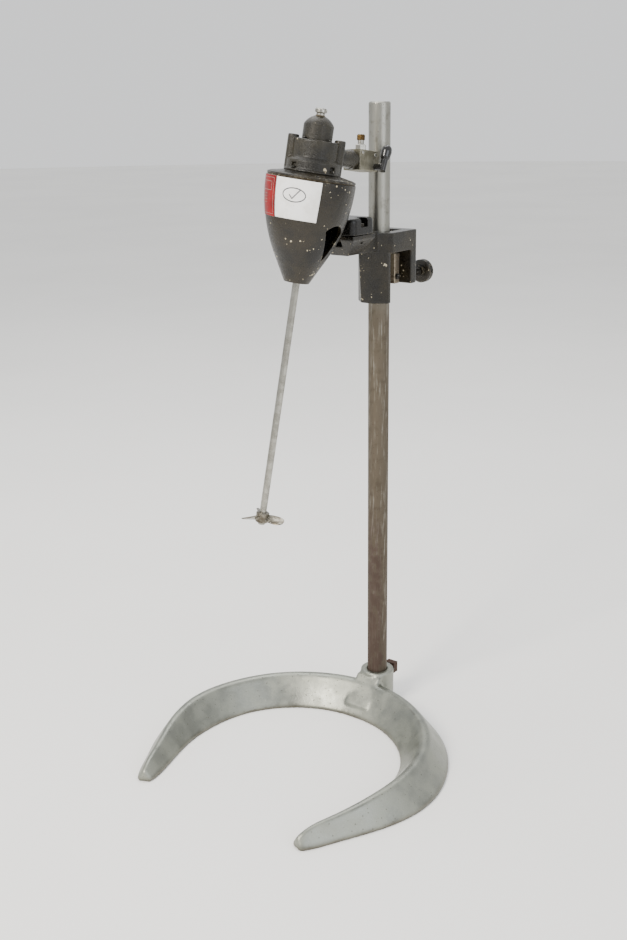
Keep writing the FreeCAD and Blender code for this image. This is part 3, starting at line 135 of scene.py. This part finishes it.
def mixed(tree, share, first, second):
    """Two colours mixed, with share of the second."""
    return add(tree, "Mix", {0: share, 6: first, 7: second}, data_type="RGBA").outputs[2]


def eased(tree, value, low, high, to_low=0.0, to_high=1.0):
    """A value taken from one range smoothly to another, and held there at both ends."""
    made = add(
        tree,
        "MapRange",
        {
            "Value": value,
            "From Min": low,
            "From Max": high,
            "To Min": to_low,
            "To Max": to_high,
        },
        interpolation_type="SMOOTHSTEP",
    )
    return made.outputs[0]


def cloud(tree, place, mm, detail=3.0, rough=0.55):
    """Soft noise with lumps of about so many millimetres, from 0 to 1."""
    made = add(
        tree,
        "TexNoise",
        {"Vector": place, "Scale": per(mm), "Detail": detail, "Roughness": rough},
    )
    return made.outputs[0]


def times(tree, a, b, operation="MULTIPLY"):
    """Two values multiplied, or joined by another operation of the maths node."""
    return add(tree, "Math", {0: a, 1: b}, operation=operation).outputs[0]


def flecks(tree, place, mm, share):
    """Ragged spots up to so many millimetres across, in that share of the places for one."""
    wobble = add(tree, "TexNoise", {"Vector": place, "Scale": per(mm * 0.6), "Detail": 2.0})
    ragged = add(
        tree,
        "VectorMath",
        {0: wobble.outputs[1], 1: (mm * 0.9 * MM,) * 3, 2: place},
        operation="MULTIPLY_ADD",
    )
    cells = add(tree, "TexVoronoi", {"Vector": ragged.outputs[0], "Scale": per(mm * 1.7)})
    dice = add(tree, "SeparateColor", {0: cells.outputs["Color"]})
    chosen = times(tree, share, dice.outputs[0], "GREATER_THAN")
    reach = eased(tree, dice.outputs[1], 0.0, 1.0, 0.12, 0.42)
    inside = times(tree, reach, cells.outputs["Distance"], "SUBTRACT")
    return times(tree, eased(tree, inside, 0.0, 0.07), chosen)


def edges(tree, mm, low=0.99, high=0.85):
    """The surface with its edges rounded by so many millimetres, and how near an edge is."""
    rounded = add(tree, "Bevel", {"Radius": mm * MM}, samples=6).outputs[0]
    flat = add(tree, "NewGeometry").outputs["Normal"]
    turn = add(tree, "VectorMath", {0: rounded, 1: flat}, operation="DOT_PRODUCT")
    return rounded, eased(tree, turn.outputs["Value"], low, high)


def near(tree, place, spots):
    """1 at each of the spots (point, reach in mm), falling to 0 at its reach."""
    total = 0.0
    for point, reach in spots:
        away = add(tree, "VectorMath", {0: place, 1: tuple(point)}, operation="DISTANCE")
        close = eased(tree, away.outputs["Value"], 0.0, reach * MM, 1.0, 0.0)
        total = times(tree, total, close, "MAXIMUM")
    return total


def relief(tree, shader, normal, *layers):
    """Stacks bumps, each a height and the millimetres it stands, on the shader's normal."""
    for height, mm in layers:
        inputs = {"Height": height, "Distance": mm * MM}
        if normal is not None:
            inputs["Normal"] = normal
        normal = add(tree, "Bump", inputs).outputs[0]
    tree.links.new(normal, shader.inputs["Normal"])


def link(tree, shader, **sockets):
    """Links each pattern to the shader's input of that name."""
    for name, socket in sockets.items():
        tree.links.new(socket, shader.inputs[name.replace("_", " ")])


def olive_enamel(name, dark, light, grain, depth, chips, worn, spots=()):
    """Olive-black enamel brushed on a sand casting.

    The eye sees a half-glossy, gritty skin, with pale chips of primer and metal where it
    has been knocked: most of them along edges and at the worn spots.
    """
    material, tree, shader, place = start(
        name, Specular_IOR_Level=0.32, Coat_Weight=0.12, Coat_Roughness=0.2
    )
    rounded, edge = edges(tree, 0.9)
    drift = cloud(tree, place, 28)
    grit = cloud(tree, place, grain, 5.0, 0.65)
    coat = mixed(tree, eased(tree, drift, 0.35, 0.65), paint(dark), paint(light))
    coat = mixed(tree, eased(tree, grit, 0.55, 0.78, 0.0, 0.3), coat, paint("#4b4534"))
    coat = mixed(tree, eased(tree, grit, 0.46, 0.3, 0.0, 0.7), coat, paint("#0a0906"))
    patch = eased(tree, cloud(tree, place, 11, 2.0), 0.5, 0.72)
    knocked = near(tree, place, spots)
    share = times(tree, times(tree, patch, chips), times(tree, knocked, 0.5), "ADD")
    share = times(tree, share, times(tree, edge, chips), "ADD")
    small = flecks(tree, place, 1.5, share)
    large = flecks(tree, place, 3.4, times(tree, share, 0.45))
    rubbed = times(tree, edge, eased(tree, cloud(tree, place, 4, 3.0), 0.52, 0.66, 0.0, worn))
    bare = times(tree, times(tree, small, large, "MAXIMUM"), rubbed, "MAXIMUM")
    primer = mixed(tree, cloud(tree, place, 2.5), paint("#8f8062"), paint("#cbc3ad"))
    link(
        tree,
        shader,
        Base_Color=mixed(tree, bare, coat, primer),
        Roughness=eased(tree, times(tree, grit, bare, "ADD"), 0.3, 1.0, 0.24, 0.62),
    )
    hollow = times(tree, bare, -1.0)
    relief(tree, shader, rounded, (grit, depth), (cloud(tree, place, 7), 0.35), (hollow, 0.12))
    return material


def cast_aluminium():
    """Bare sand-cast aluminium, tumbled and handled for years.

    The eye sees a pale, slightly green-grey metal with a satin sheen, soft darker clouds,
    fine pits, and grime with painted shade along the floor line.
    """
    material, tree, shader, place = start("bare_cast_aluminium", Metallic=1.0)
    rounded, edge = edges(tree, 1.6)
    clouds = cloud(tree, place, 22, 4.0)
    grain = cloud(tree, place, 1.6, 4.0, 0.7)
    skin = mixed(tree, eased(tree, clouds, 0.32, 0.66), paint("#868880"), paint("#94968c"))
    skin = mixed(tree, eased(tree, grain, 0.5, 0.75, 0.0, 0.25), skin, paint("#b4b6ab"))
    stain = times(tree, eased(tree, cloud(tree, place, 9), 0.56, 0.72), 0.14)
    skin = mixed(tree, stain, skin, paint("#6c6c62"))
    pits = flecks(tree, place, 1.3, 0.1)
    skin = mixed(tree, times(tree, pits, 0.6), skin, paint("#55534a"))
    height = add(tree, "SeparateXYZ", {0: place}).outputs[2]
    floor_line = times(tree, height, times(tree, clouds, 0.006), "ADD")
    # darker brown over the lowest 2 to 11 mm: grime together with a painted shade where the base meets the floor
    floor_grime_and_shade = eased(tree, floor_line, 0.002, 0.011, 0.8, 0.0)
    skin = mixed(tree, floor_grime_and_shade, skin, paint("#4e483c"))
    polish = times(tree, edge, 0.5)
    skin = mixed(tree, polish, skin, paint("#c0c2b8"))
    link(tree, shader, Base_Color=skin, Roughness=eased(tree, clouds, 0.3, 0.7, 0.34, 0.52))
    relief(tree, shader, rounded, (grain, 0.1), (clouds, 0.5), (times(tree, pits, -1.0), 0.15))
    return material


def rod_steel():
    """A drawn steel rod, wiped bright at the top and browned by old rust below the clamp.

    The eye sees a dull sheen along its length, brown film, small pits, and red-brown rust
    creeping up one side from the foot.
    """
    material, tree, shader, place = start("drawn_steel_rod", Metallic=1.0)
    rounded, _ = edges(tree, 0.8)
    where = add(tree, "SeparateXYZ", {0: place})
    height = where.outputs[2]
    long_way = add(tree, "Mapping", {0: place, 3: (1, 1, 0.08)}).outputs[0]
    streaks = cloud(tree, long_way, 2.4, 4.0, 0.6)
    blotch = cloud(tree, place, 12, 4.0)
    brown = eased(tree, height, 0.50, 0.62, 1.0, 0.0)
    old = eased(tree, height, 0.06, 0.5, 1.0, 0.0)
    skin = mixed(tree, brown, paint("#93928a"), paint("#655d51"))
    skin = mixed(tree, times(tree, old, 0.55), skin, paint("#564d43"))
    skin = mixed(tree, eased(tree, streaks, 0.5, 0.72, 0.0, 0.5), skin, paint("#a5a298"))
    skin = mixed(tree, eased(tree, blotch, 0.5, 0.72, 0.0, 0.45), skin, paint("#4d463b"))
    front = eased(tree, where.outputs[1], 0.0, -0.0122)
    creep = times(tree, eased(tree, height, 0.04, 0.42, 1.05, 0.0), front)
    ragged = times(tree, streaks, blotch, "ADD")
    creep = times(tree, creep, eased(tree, ragged, 0.8, 1.15, 0.35, 1.0))
    rust = eased(tree, creep, 0.16, 0.6, 0.0, 0.85)
    pits = flecks(tree, place, 1.2, eased(tree, height, 0.1, 0.6, 0.4, 0.12))
    rust = times(tree, rust, times(tree, pits, 0.5), "MAXIMUM")
    skin = mixed(tree, rust, skin, mixed(tree, streaks, paint("#281911"), paint("#3d281b")))
    link(
        tree,
        shader,
        Base_Color=skin,
        Metallic=eased(tree, rust, 0.0, 0.8, 1.0, 0.15),
        Roughness=eased(tree, times(tree, brown, rust, "ADD"), 0.0, 1.5, 0.33, 0.75),
    )
    sunk = times(tree, pits, -1.0)
    relief(tree, shader, rounded, (streaks, 0.03), (sunk, 0.06), (blotch, 0.1))
    return material


def rusty_steel(name, metal, rust, share):
    """Plain steel hardware that has rusted: dark brown crust with some metal showing."""
    material, tree, shader, place = start(name)
    rounded, edge = edges(tree, 0.5)
    crust = cloud(tree, place, 2.2, 5.0, 0.65)
    lumps = cloud(tree, place, 7, 3.0)
    covered = eased(tree, times(tree, lumps, crust, "ADD"), 1.25 - share, 1.4 - share)
    covered = times(tree, covered, times(tree, edge, -0.35), "ADD")
    skin = mixed(tree, crust, paint("#2c1c14"), paint(rust))
    skin = mixed(tree, times(tree, covered, 1.0, "MINIMUM"), paint(metal), skin)
    link(
        tree,
        shader,
        Base_Color=skin,
        Metallic=eased(tree, covered, 0.2, 0.8, 1.0, 0.1),
        Roughness=eased(tree, covered, 0.0, 1.0, 0.38, 0.85),
    )
    relief(tree, shader, rounded, (crust, 0.14), (lumps, 0.3))
    return material


def turned_metal(name, dark, light, rough, grain, depth, spot, share, along=(1, 1, 1)):
    """Machined metal: fine tool marks, dull patches where it is handled, and dark specks."""
    material, tree, shader, place = start(name, Metallic=1.0)
    rounded, edge = edges(tree, 0.35)
    lines = add(tree, "Mapping", {0: place, 3: along}).outputs[0]
    marks = cloud(tree, lines, grain, 3.0, 0.6)
    wear = cloud(tree, place, 9, 4.0)
    skin = mixed(tree, eased(tree, wear, 0.35, 0.68), paint(dark), paint(light))
    skin = mixed(tree, eased(tree, marks, 0.5, 0.8, 0.0, 0.35), skin, paint(dark))
    skin = mixed(tree, times(tree, edge, 0.5), skin, paint("#e9e7df"))
    specks = flecks(tree, place, 1.1, share)
    skin = mixed(tree, times(tree, specks, 0.8), skin, paint(spot))
    gloss = times(tree, eased(tree, wear, 0.3, 0.7, 0.08, -0.05), rough, "ADD")
    link(tree, shader, Base_Color=skin, Roughness=gloss)
    relief(tree, shader, rounded, (marks, depth), (times(tree, specks, -1.0), 0.03))
    return material


def black_plastic(name, tone, rough, scuff):
    """Moulded black phenolic: deep gloss, hairline scuffs, and fine pale specks of dust."""
    material, tree, shader, place = start(name, Coat_Weight=0.3, Coat_Roughness=0.08)
    rounded, edge = edges(tree, 0.5)
    smear = cloud(tree, place, 6, 4.0)
    fine = cloud(tree, place, 0.7, 3.0, 0.7)
    skin = mixed(tree, eased(tree, smear, 0.4, 0.7), paint(tone), paint("#171513"))
    skin = mixed(tree, times(tree, edge, scuff), skin, paint("#6a6357"))
    skin = mixed(tree, eased(tree, fine, 0.62, 0.8, 0.0, scuff), skin, paint("#7b7568"))
    gloss = times(tree, eased(tree, smear, 0.3, 0.7, -0.04, 0.16), rough, "ADD")
    link(tree, shader, Base_Color=skin, Roughness=gloss)
    relief(tree, shader, rounded, (fine, 0.01), (smear, 0.05))
    return material


def red_plate():
    """A thin aluminium name plate, screen-printed red: even gloss, fine scratches to metal."""
    material, tree, shader, place = start("printed_red_plate", Specular_IOR_Level=0.25)
    rounded, edge = edges(tree, 0.3)
    scratch_way = add(tree, "Mapping", {0: place, 2: (0.4, 0.3, 0.9), 3: (1, 0.05, 1)})
    scratches = cloud(tree, scratch_way.outputs[0], 0.8, 2.0)
    fade = cloud(tree, place, 14, 3.0)
    ink = mixed(tree, eased(tree, fade, 0.3, 0.7), paint("#6a0508"), paint("#850b0f"))
    bare = times(tree, eased(tree, scratches, 0.7, 0.78), times(tree, edge, 0.8), "MAXIMUM")
    link(
        tree,
        shader,
        Base_Color=mixed(tree, bare, ink, paint("#c9c2b6")),
        Roughness=eased(tree, fade, 0.3, 0.7, 0.32, 0.46),
    )
    relief(tree, shader, rounded, (scratches, 0.01), (fade, 0.04))
    return material


def label_paper(name, tone, dirt):
    """White paper stuck on by its own glue: matt, faintly fibrous, grubby in patches."""
    material, tree, shader, place = start(name, Roughness=0.8, Sheen_Weight=0.1)
    fibres = add(tree, "Mapping", {0: place, 3: (1, 0.35, 1)}).outputs[0]
    weave = cloud(tree, fibres, 0.5, 3.0, 0.7)
    grub = cloud(tree, place, 13, 5.0)
    skin = mixed(tree, eased(tree, grub, 0.45, 0.75, 0.0, dirt), paint(tone), paint("#b9b3a4"))
    skin = mixed(tree, eased(tree, weave, 0.6, 0.8, 0.0, 0.16), skin, paint("#c9c6be"))
    spots = flecks(tree, place, 0.8, 0.02)
    skin = mixed(tree, times(tree, spots, 0.5), skin, paint("#6f695c"))
    link(tree, shader, Base_Color=skin)
    relief(tree, shader, None, (weave, 0.015), (grub, 0.12))
    return material


def soft_ink(name, tone):
    """Ink on paper or paint: dry at the edges, so a little of what is under it shows."""
    material, tree, shader, place = start(name, Roughness=0.55)
    dry = cloud(tree, place, 0.9, 3.0, 0.7)
    skin = mixed(tree, eased(tree, dry, 0.55, 0.8, 0.0, 0.5), paint(tone), paint("#8d8a84"))
    link(tree, shader, Base_Color=skin)
    relief(tree, shader, None, (dry, 0.01))
    return material


def pressed_fibre(name, dark, light):
    """Pressed fibre sheet: matt, brownish, with a felted grain."""
    material, tree, shader, place = start(name, Roughness=0.85)
    felt = cloud(tree, place, 0.9, 5.0, 0.7)
    link(tree, shader, Base_Color=mixed(tree, felt, paint(dark), paint(light)))
    relief(tree, shader, None, (felt, 0.05))
    return material


jaw_low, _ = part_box("clamp_frame")
rim_wear = [(on_casing(turn, -6 * MM), 9) for turn in (-34, -22, -10, 4)]
window_wear = [(on_casing(-20, -46 * MM), 8), (on_casing(-28, -58 * MM), 10)]
jaw_corner = Vector((-7.5 * MM, -27 * MM, 0))
jaw_wear = [(jaw_corner + UP * (jaw_low.z + up * MM), 13) for up in (8, 26, 44)]

enamel = olive_enamel(
    "olive_enamel",
    "#0d0b06",
    "#221d12",
    grain=1.9,
    depth=0.34,
    chips=0.36,
    worn=0.9,
    spots=rim_wear + window_wear + jaw_wear,
)
rough_enamel = olive_enamel(
    "olive_enamel_on_rough_casting", "#13110b", "#29251a", 1.4, 0.6, 0.14, 1.0
)
finishes = {
    "cast_aluminium": cast_aluminium(),
    "rod_steel": rod_steel(),
    "rusty_steel": rusty_steel("rusty_steel_screw", "#4f4940", "#4a2f20", 0.45),
    "olive_enamel": enamel,
    "pad_steel": rusty_steel("browned_steel_plate", "#8c8272", "#5b4c3c", 0.2),
    "bright_steel": turned_metal(
        "stainless_steel", "#8b8981", "#a9a79f", 0.24, 0.5, 0.01, "#6a665d", 0.012
    ),
    "dark_steel": turned_metal(
        "blackened_steel", "#1b1a18", "#35322d", 0.3, 0.8, 0.02, "#8a8478", 0.05
    ),
    "plate_red": red_plate(),
    "label_paper": label_paper("label_paper", "#e9e9e7", 0.35),
    "gasket_fibre": pressed_fibre("gasket_fibre", "#3c3428", "#6a5d48"),
    "vane_fibre": pressed_fibre("vane_fibre", "#6b4a2c", "#8f6a44"),
    "valve_alloy": turned_metal(
        "machined_zinc_alloy", "#6f6b5c", "#928e7e", 0.5, 1.1, 0.04, "#4d4639", 0.05
    ),
    "brass": turned_metal("old_brass", "#4a3820", "#7b6338", 0.34, 0.5, 0.02, "#3c2a14", 0.12),
    "black_knob": black_plastic("black_phenolic", "#0a0a0b", 0.12, 0.06),
    "bronze": turned_metal(
        "bearing_bronze", "#7a5326", "#a97b42", 0.35, 0.6, 0.02, "#3b2a17", 0.05
    ),
    "prop_steel": turned_metal(
        "cast_stainless", "#575146", "#8e897d", 0.3, 1.2, 0.08, "#3b342a", 0.14
    ),
}
black_gloss = olive_enamel("black_gloss_enamel", "#060605", "#0e0d0b", 2.4, 0.12, 0.05, 0.4)
own_finish = {
    "motor_body": rough_enamel,
    "top_cover": rough_enamel,
    "inlet_neck": rough_enamel,
    "socket_cap": black_gloss,
    "swivel_ball": finishes["dark_steel"],
}

slot_of = {part["node"]: part["material_slot"] for part in frame["record"]["subparts"]}


def finish_of(node):
    """The node's own finish, or else its slot's."""
    return own_finish.get(node, finishes[slot_of[node]])


for node, piece in frame["nodes"].items():
    for place_in_slots in piece.material_slots:
        place_in_slots.material = finish_of(node)


# ---------------------------------------------------------------- pieces added to the solids


def add_piece(name, mesh, finish, body, *stands_for):
    """A new shown piece that rides on a body, and may stand for some of its solids."""
    mesh.materials.clear()
    mesh.materials.append(finish)
    for face in mesh.polygons:
        face.use_smooth = True
    piece = bpy.data.objects.new(name, mesh)
    bpy.context.scene.collection.objects.link(piece)
    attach(piece, body)
    for node in stands_for:
        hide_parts(node)
    return piece


def grid_mesh(name, rows, closed):
    """A skin over rows of points; closed joins each row's end back to its start."""
    wide = len(rows[0])
    points = [point for row in rows for point in row]
    faces = []
    for down in range(len(rows) - 1):
        for over in range(wide if closed else wide - 1):
            a, b = down * wide + over, down * wide + (over + 1) % wide
            faces.append((a, b, b + wide, a + wide))
    if closed:
        faces.append(tuple(range(wide))[::-1])
        faces.append(tuple(range((len(rows) - 1) * wide, len(rows) * wide)))
    mesh = bpy.data.meshes.new(name)
    mesh.from_pydata(points, [], faces)
    return mesh


def lathed(name, place, rows, around):
    """A turned skin: each row is a height and a function from turn (0 to 1) to radius."""
    rings = []
    for height, radius in rows:
        ring = []
        for step in range(around):
            turn = step / around
            x = radius(turn) * math.cos(2 * math.pi * turn)
            y = radius(turn) * math.sin(2 * math.pi * turn)
            ring.append(place @ Vector((x, y, height)))
        rings.append(ring)
    return grid_mesh(name, rings, True)


def softened(node, body, grain, passes):
    """The same casting with its edges and corners melted, as sand moulds leave them."""
    mesh = frame["nodes"][node].data.copy()
    piece = add_piece("cast_" + node, mesh, finish_of(node), body, node)
    skin = piece.modifiers.new("skin", "REMESH")
    skin.mode = "VOXEL"
    skin.voxel_size = grain * MM
    skin.use_smooth_shade = True
    melt = piece.modifiers.new("melt", "SMOOTH")
    melt.factor = 0.5
    melt.iterations = passes


softened("base_casting", "base", 1.3, 8)
softened("clamp_frame", "bracket", 0.7, 5)
softened("motor_body", "head", 0.6, 3)

# the clamp screw, with its thread cut
THREAD_PITCH = 1.5 * MM
THREAD_STEPS = 8
ROOT_R, THREAD_DEPTH = 4.15, 0.72
screw_low, screw_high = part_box("clamp_screw")
screw_place = axes(
    Vector((0, 0, (screw_low.z + screw_high.z) / 2)), Vector((0, 1, 0)), RIGHT
)


def thread(height):
    """The radius of the thread at a height, for each turn round the screw."""

    def radius(turn):
        phase = (height / THREAD_PITCH + turn) % 1.0
        return (ROOT_R + THREAD_DEPTH * abs(2 * phase - 1)) * MM

    return radius


def plain(mm):
    """The same radius all the way round."""
    return lambda turn: mm * MM


thread_start = screw_low.y + 4 * MM
thread_end = screw_high.y - 12 * MM
steps = int((thread_end - thread_start) / (THREAD_PITCH / THREAD_STEPS))
screw_rows = [(screw_low.y, plain(2.6)), (screw_low.y + 0.4 * MM, plain(2.95))]
screw_rows += [(thread_start - 0.05 * MM, plain(2.95))]
for step in range(steps):
    height = thread_start + step * THREAD_PITCH / THREAD_STEPS
    screw_rows.append((height, thread(height)))
screw_rows += [(thread_end + 0.1 * MM, plain(3.95)), (screw_high.y, plain(3.95))]
add_piece(
    "threaded_clamp_screw",
    lathed("threaded_clamp_screw", screw_place, screw_rows, 40),
    finishes["dark_steel"],
    "screw",
    "clamp_screw",
)

# the union's ring, knurled in small diamonds
ring_point, ring_line = axis_of("union_ring_turn")
ring_place = axes(ring_point, ring_line, RIGHT)
KNURL_COUNT = 22
KNURL_REACH = 1.3 * MM
KNURL_R, KNURL_DEPTH = 4.55, 0.5


def knurl(height):
    """The radius of the knurled band at a height, for each turn round it."""

    def radius(turn):
        one = abs(((turn * KNURL_COUNT + height / KNURL_REACH) % 1.0) - 0.5)
        other = abs(((turn * KNURL_COUNT - height / KNURL_REACH) % 1.0) - 0.5)
        return (KNURL_R - KNURL_DEPTH * (1 - 2 * max(one, other))) * MM

    return radius


ring_rows = [(-6.6 * MM, plain(3.6)), (-6.6 * MM, plain(4.05)), (-6.3 * MM, plain(4.35))]
for step in range(27):
    height = (-6.0 + step * 0.2) * MM
    ring_rows.append((height, knurl(height)))
ring_rows += [(-0.7 * MM, plain(4.3)), (-0.6 * MM, plain(4.0)), (-0.6 * MM, plain(3.6))]
add_piece(
    "knurled_union_ring",
    lathed("knurled_union_ring", ring_place, ring_rows, 132),
    finishes["brass"],
    "union_ring",
    "union_ring",
)

# the paper label: a little wavy, with one lower corner coming away
LABEL_TOP, LABEL_FOOT = -2.8, -44.2
PAPER_FROM, PAPER_TO = -99.5, -38.5


def paper_lift(degrees, height):
    """How far the paper stands off the casing, in metres."""
    ripple = noise.noise(Vector((degrees * 0.055, height / (14 * MM), 3.0)))
    corner = max(0.0, (degrees + 52) / 13) * max(0.0, (-height / MM - 33) / 11)
    return (0.2 + 0.12 * ripple + 1.1 * corner**2) * MM


def wrapped(name, wide, tall, lift, finish, *stands_for):
    """A sheet that follows the casing between two angles and two heights."""
    across_by, down_by = 64, 40
    rows = []
    for down in range(down_by + 1):
        height = (tall[0] + (tall[1] - tall[0]) * down / down_by) * MM
        row = []
        for over in range(across_by + 1):
            angle = wide[0] + (wide[1] - wide[0]) * over / across_by
            row.append(on_casing(angle, height, lift(angle, height)))
        rows.append(row)
    return add_piece(name, grid_mesh(name, rows, False), finish, "head", *stands_for)


paper = wrapped(
    "wavy_paper_label",
    (PAPER_FROM, PAPER_TO),
    (LABEL_TOP, LABEL_FOOT),
    paper_lift,
    finishes["label_paper"],
    "paper_label",
)
sheet = paper.modifiers.new("sheet", "SOLIDIFY")
sheet.thickness = 0.12 * MM
sheet.offset = 0


def stroke(name, path, width, lift, finish):
    """A drawn or printed line along a path of (degrees, height in mm), of a width in mm."""
    rows = []
    for place, (angle, height) in enumerate(path):
        ahead = path[min(place + 1, len(path) - 1)]
        behind = path[max(place - 1, 0)]
        arc = math.radians(ahead[0] - behind[0]) * CASING_R / MM
        rise = ahead[1] - behind[1]
        length = math.hypot(arc, rise)
        side_angle = math.degrees(-rise / length * width / 2 * MM / CASING_R)
        side_rise = arc / length * width / 2
        row = []
        for side in (-1, 1):
            at = (angle + side * side_angle, (height + side * side_rise) * MM)
            row.append(on_casing(*at, lift(*at)))
        rows.append(row)
    return add_piece(name, grid_mesh(name, rows, False), finish, "head")


def between(corners, steps=14):
    """Points along straight lines from corner to corner."""
    path = []
    for start_at, end_at in zip(corners, corners[1:]):
        for step in range(steps):
            share = step / steps
            path.append(tuple(a + (b - a) * share for a, b in zip(start_at, end_at)))
    return path + [corners[-1]]


def on_paper(degrees, height):
    """How far ink on the paper stands off the casing, in metres."""
    return paper_lift(degrees, height) + 0.1 * MM


def on_plate(degrees, height):
    """How far print on the red plate stands off the casing, in metres."""
    return 0.35 * MM


PEN_WIDTH = 1.1
OVAL_MIDDLE, OVAL_WIDE, OVAL_TALL = (-72, -19), 15, 7
pen = soft_ink("marker_ink", "#20242e")
oval = []
for turn in range(0, 361, 6):
    angle = OVAL_MIDDLE[0] + OVAL_WIDE * math.cos(math.radians(turn))
    oval.append((angle, OVAL_MIDDLE[1] + OVAL_TALL * math.sin(math.radians(turn))))
stroke("pen_oval", oval, PEN_WIDTH, on_paper, pen)
stroke("pen_tick", between([(-78, -19), (-74, -23), (-64, -13)]), PEN_WIDTH, on_paper, pen)

print_ink = soft_ink("silver_print", "#a39b90")
outlines = ((-149, -104, -5, -42), (-145, -108, -9, -18))
for number, (left, right, top, foot) in enumerate(outlines):
    frame_line = [(left, top), (right, top), (right, foot), (left, foot), (left, top)]
    stroke(f"plate_frame_{number}", between(frame_line), 0.25, on_plate, print_ink)
for number, height in enumerate((-22, -25, -28, -31)):
    rule = between([(-144, height), (-118, height)])
    stroke(f"plate_line_{number}", rule, 0.22, on_plate, print_ink)


# ---------------------------------------------------------------- floor, light and camera


def plain_floor():
    """A pale painted studio floor, with a faint roller texture."""
    material, tree, shader, place = start("pale_studio_floor", Roughness=0.75)
    drift = cloud(tree, place, 900, 3.0)
    stipple = cloud(tree, place, 2.5, 3.0)
    tone = mixed(tree, eased(tree, drift, 0.3, 0.7), paint("#f0efec"), paint("#f5f4f1"))
    link(tree, shader, Base_Color=tone)
    relief(tree, shader, None, (stipple, 0.05))
    return material


bpy.ops.mesh.primitive_circle_add(
    vertices=96, radius=14, fill_type="NGON", location=(0, 0, -0.0002)
)
floor = bpy.context.object
floor.name = "studio_floor"
floor.data.materials.append(plain_floor())


def soft_lamp(name, at, aim, size, watts, tone):
    """A large soft lamp at a point, turned to face another."""
    lamp = bpy.data.lights.new(name, "AREA")
    lamp.shape = "RECTANGLE"
    lamp.size, lamp.size_y = size
    lamp.energy = watts
    lamp.color = paint(tone)[:3]
    holder = bpy.data.objects.new(name, lamp)
    bpy.context.scene.collection.objects.link(holder)
    holder.location = at
    holder.rotation_euler = (Vector(aim) - Vector(at)).to_track_quat("-Z", "Y").to_euler()


middle = (0, -0.1, 0.45)
soft_lamp("key_lamp", (-0.2, -2.3, 2.0), middle, (0.9, 0.9), 90, "#fff8ee")
soft_lamp("fill_lamp", (2.4, -0.6, 1.3), middle, (1.6, 1.6), 22, "#f3f7ff")
soft_lamp("top_lamp", (-0.6, 0.6, 2.6), middle, (1.8, 1.8), 40, "#ffffff")

world = bpy.data.worlds.new("studio")
bpy.context.scene.world = world
world.use_nodes = True
world.node_tree.nodes["Background"].inputs[0].default_value = paint("#f4f5f6")
world.node_tree.nodes["Background"].inputs[1].default_value = 1.15

CAMERA_AT = Vector((0.796, -1.196, 0.766))
PITCH = math.radians(17.2)
ROLL = math.radians(0.70)
forward = Vector((-0.6 * math.cos(PITCH), 0.8 * math.cos(PITCH), -math.sin(PITCH)))
level = Vector((0.8, 0.6, 0))
upright = level.cross(forward)
across = level * math.cos(ROLL) - upright * math.sin(ROLL)
view = bpy.data.cameras.new("view")
view.lens = 45.96
view.sensor_width = 36
camera = bpy.data.objects.new("view", view)
bpy.context.scene.collection.objects.link(camera)
camera.matrix_world = axes(CAMERA_AT, -forward, across)
bpy.context.scene.camera = camera
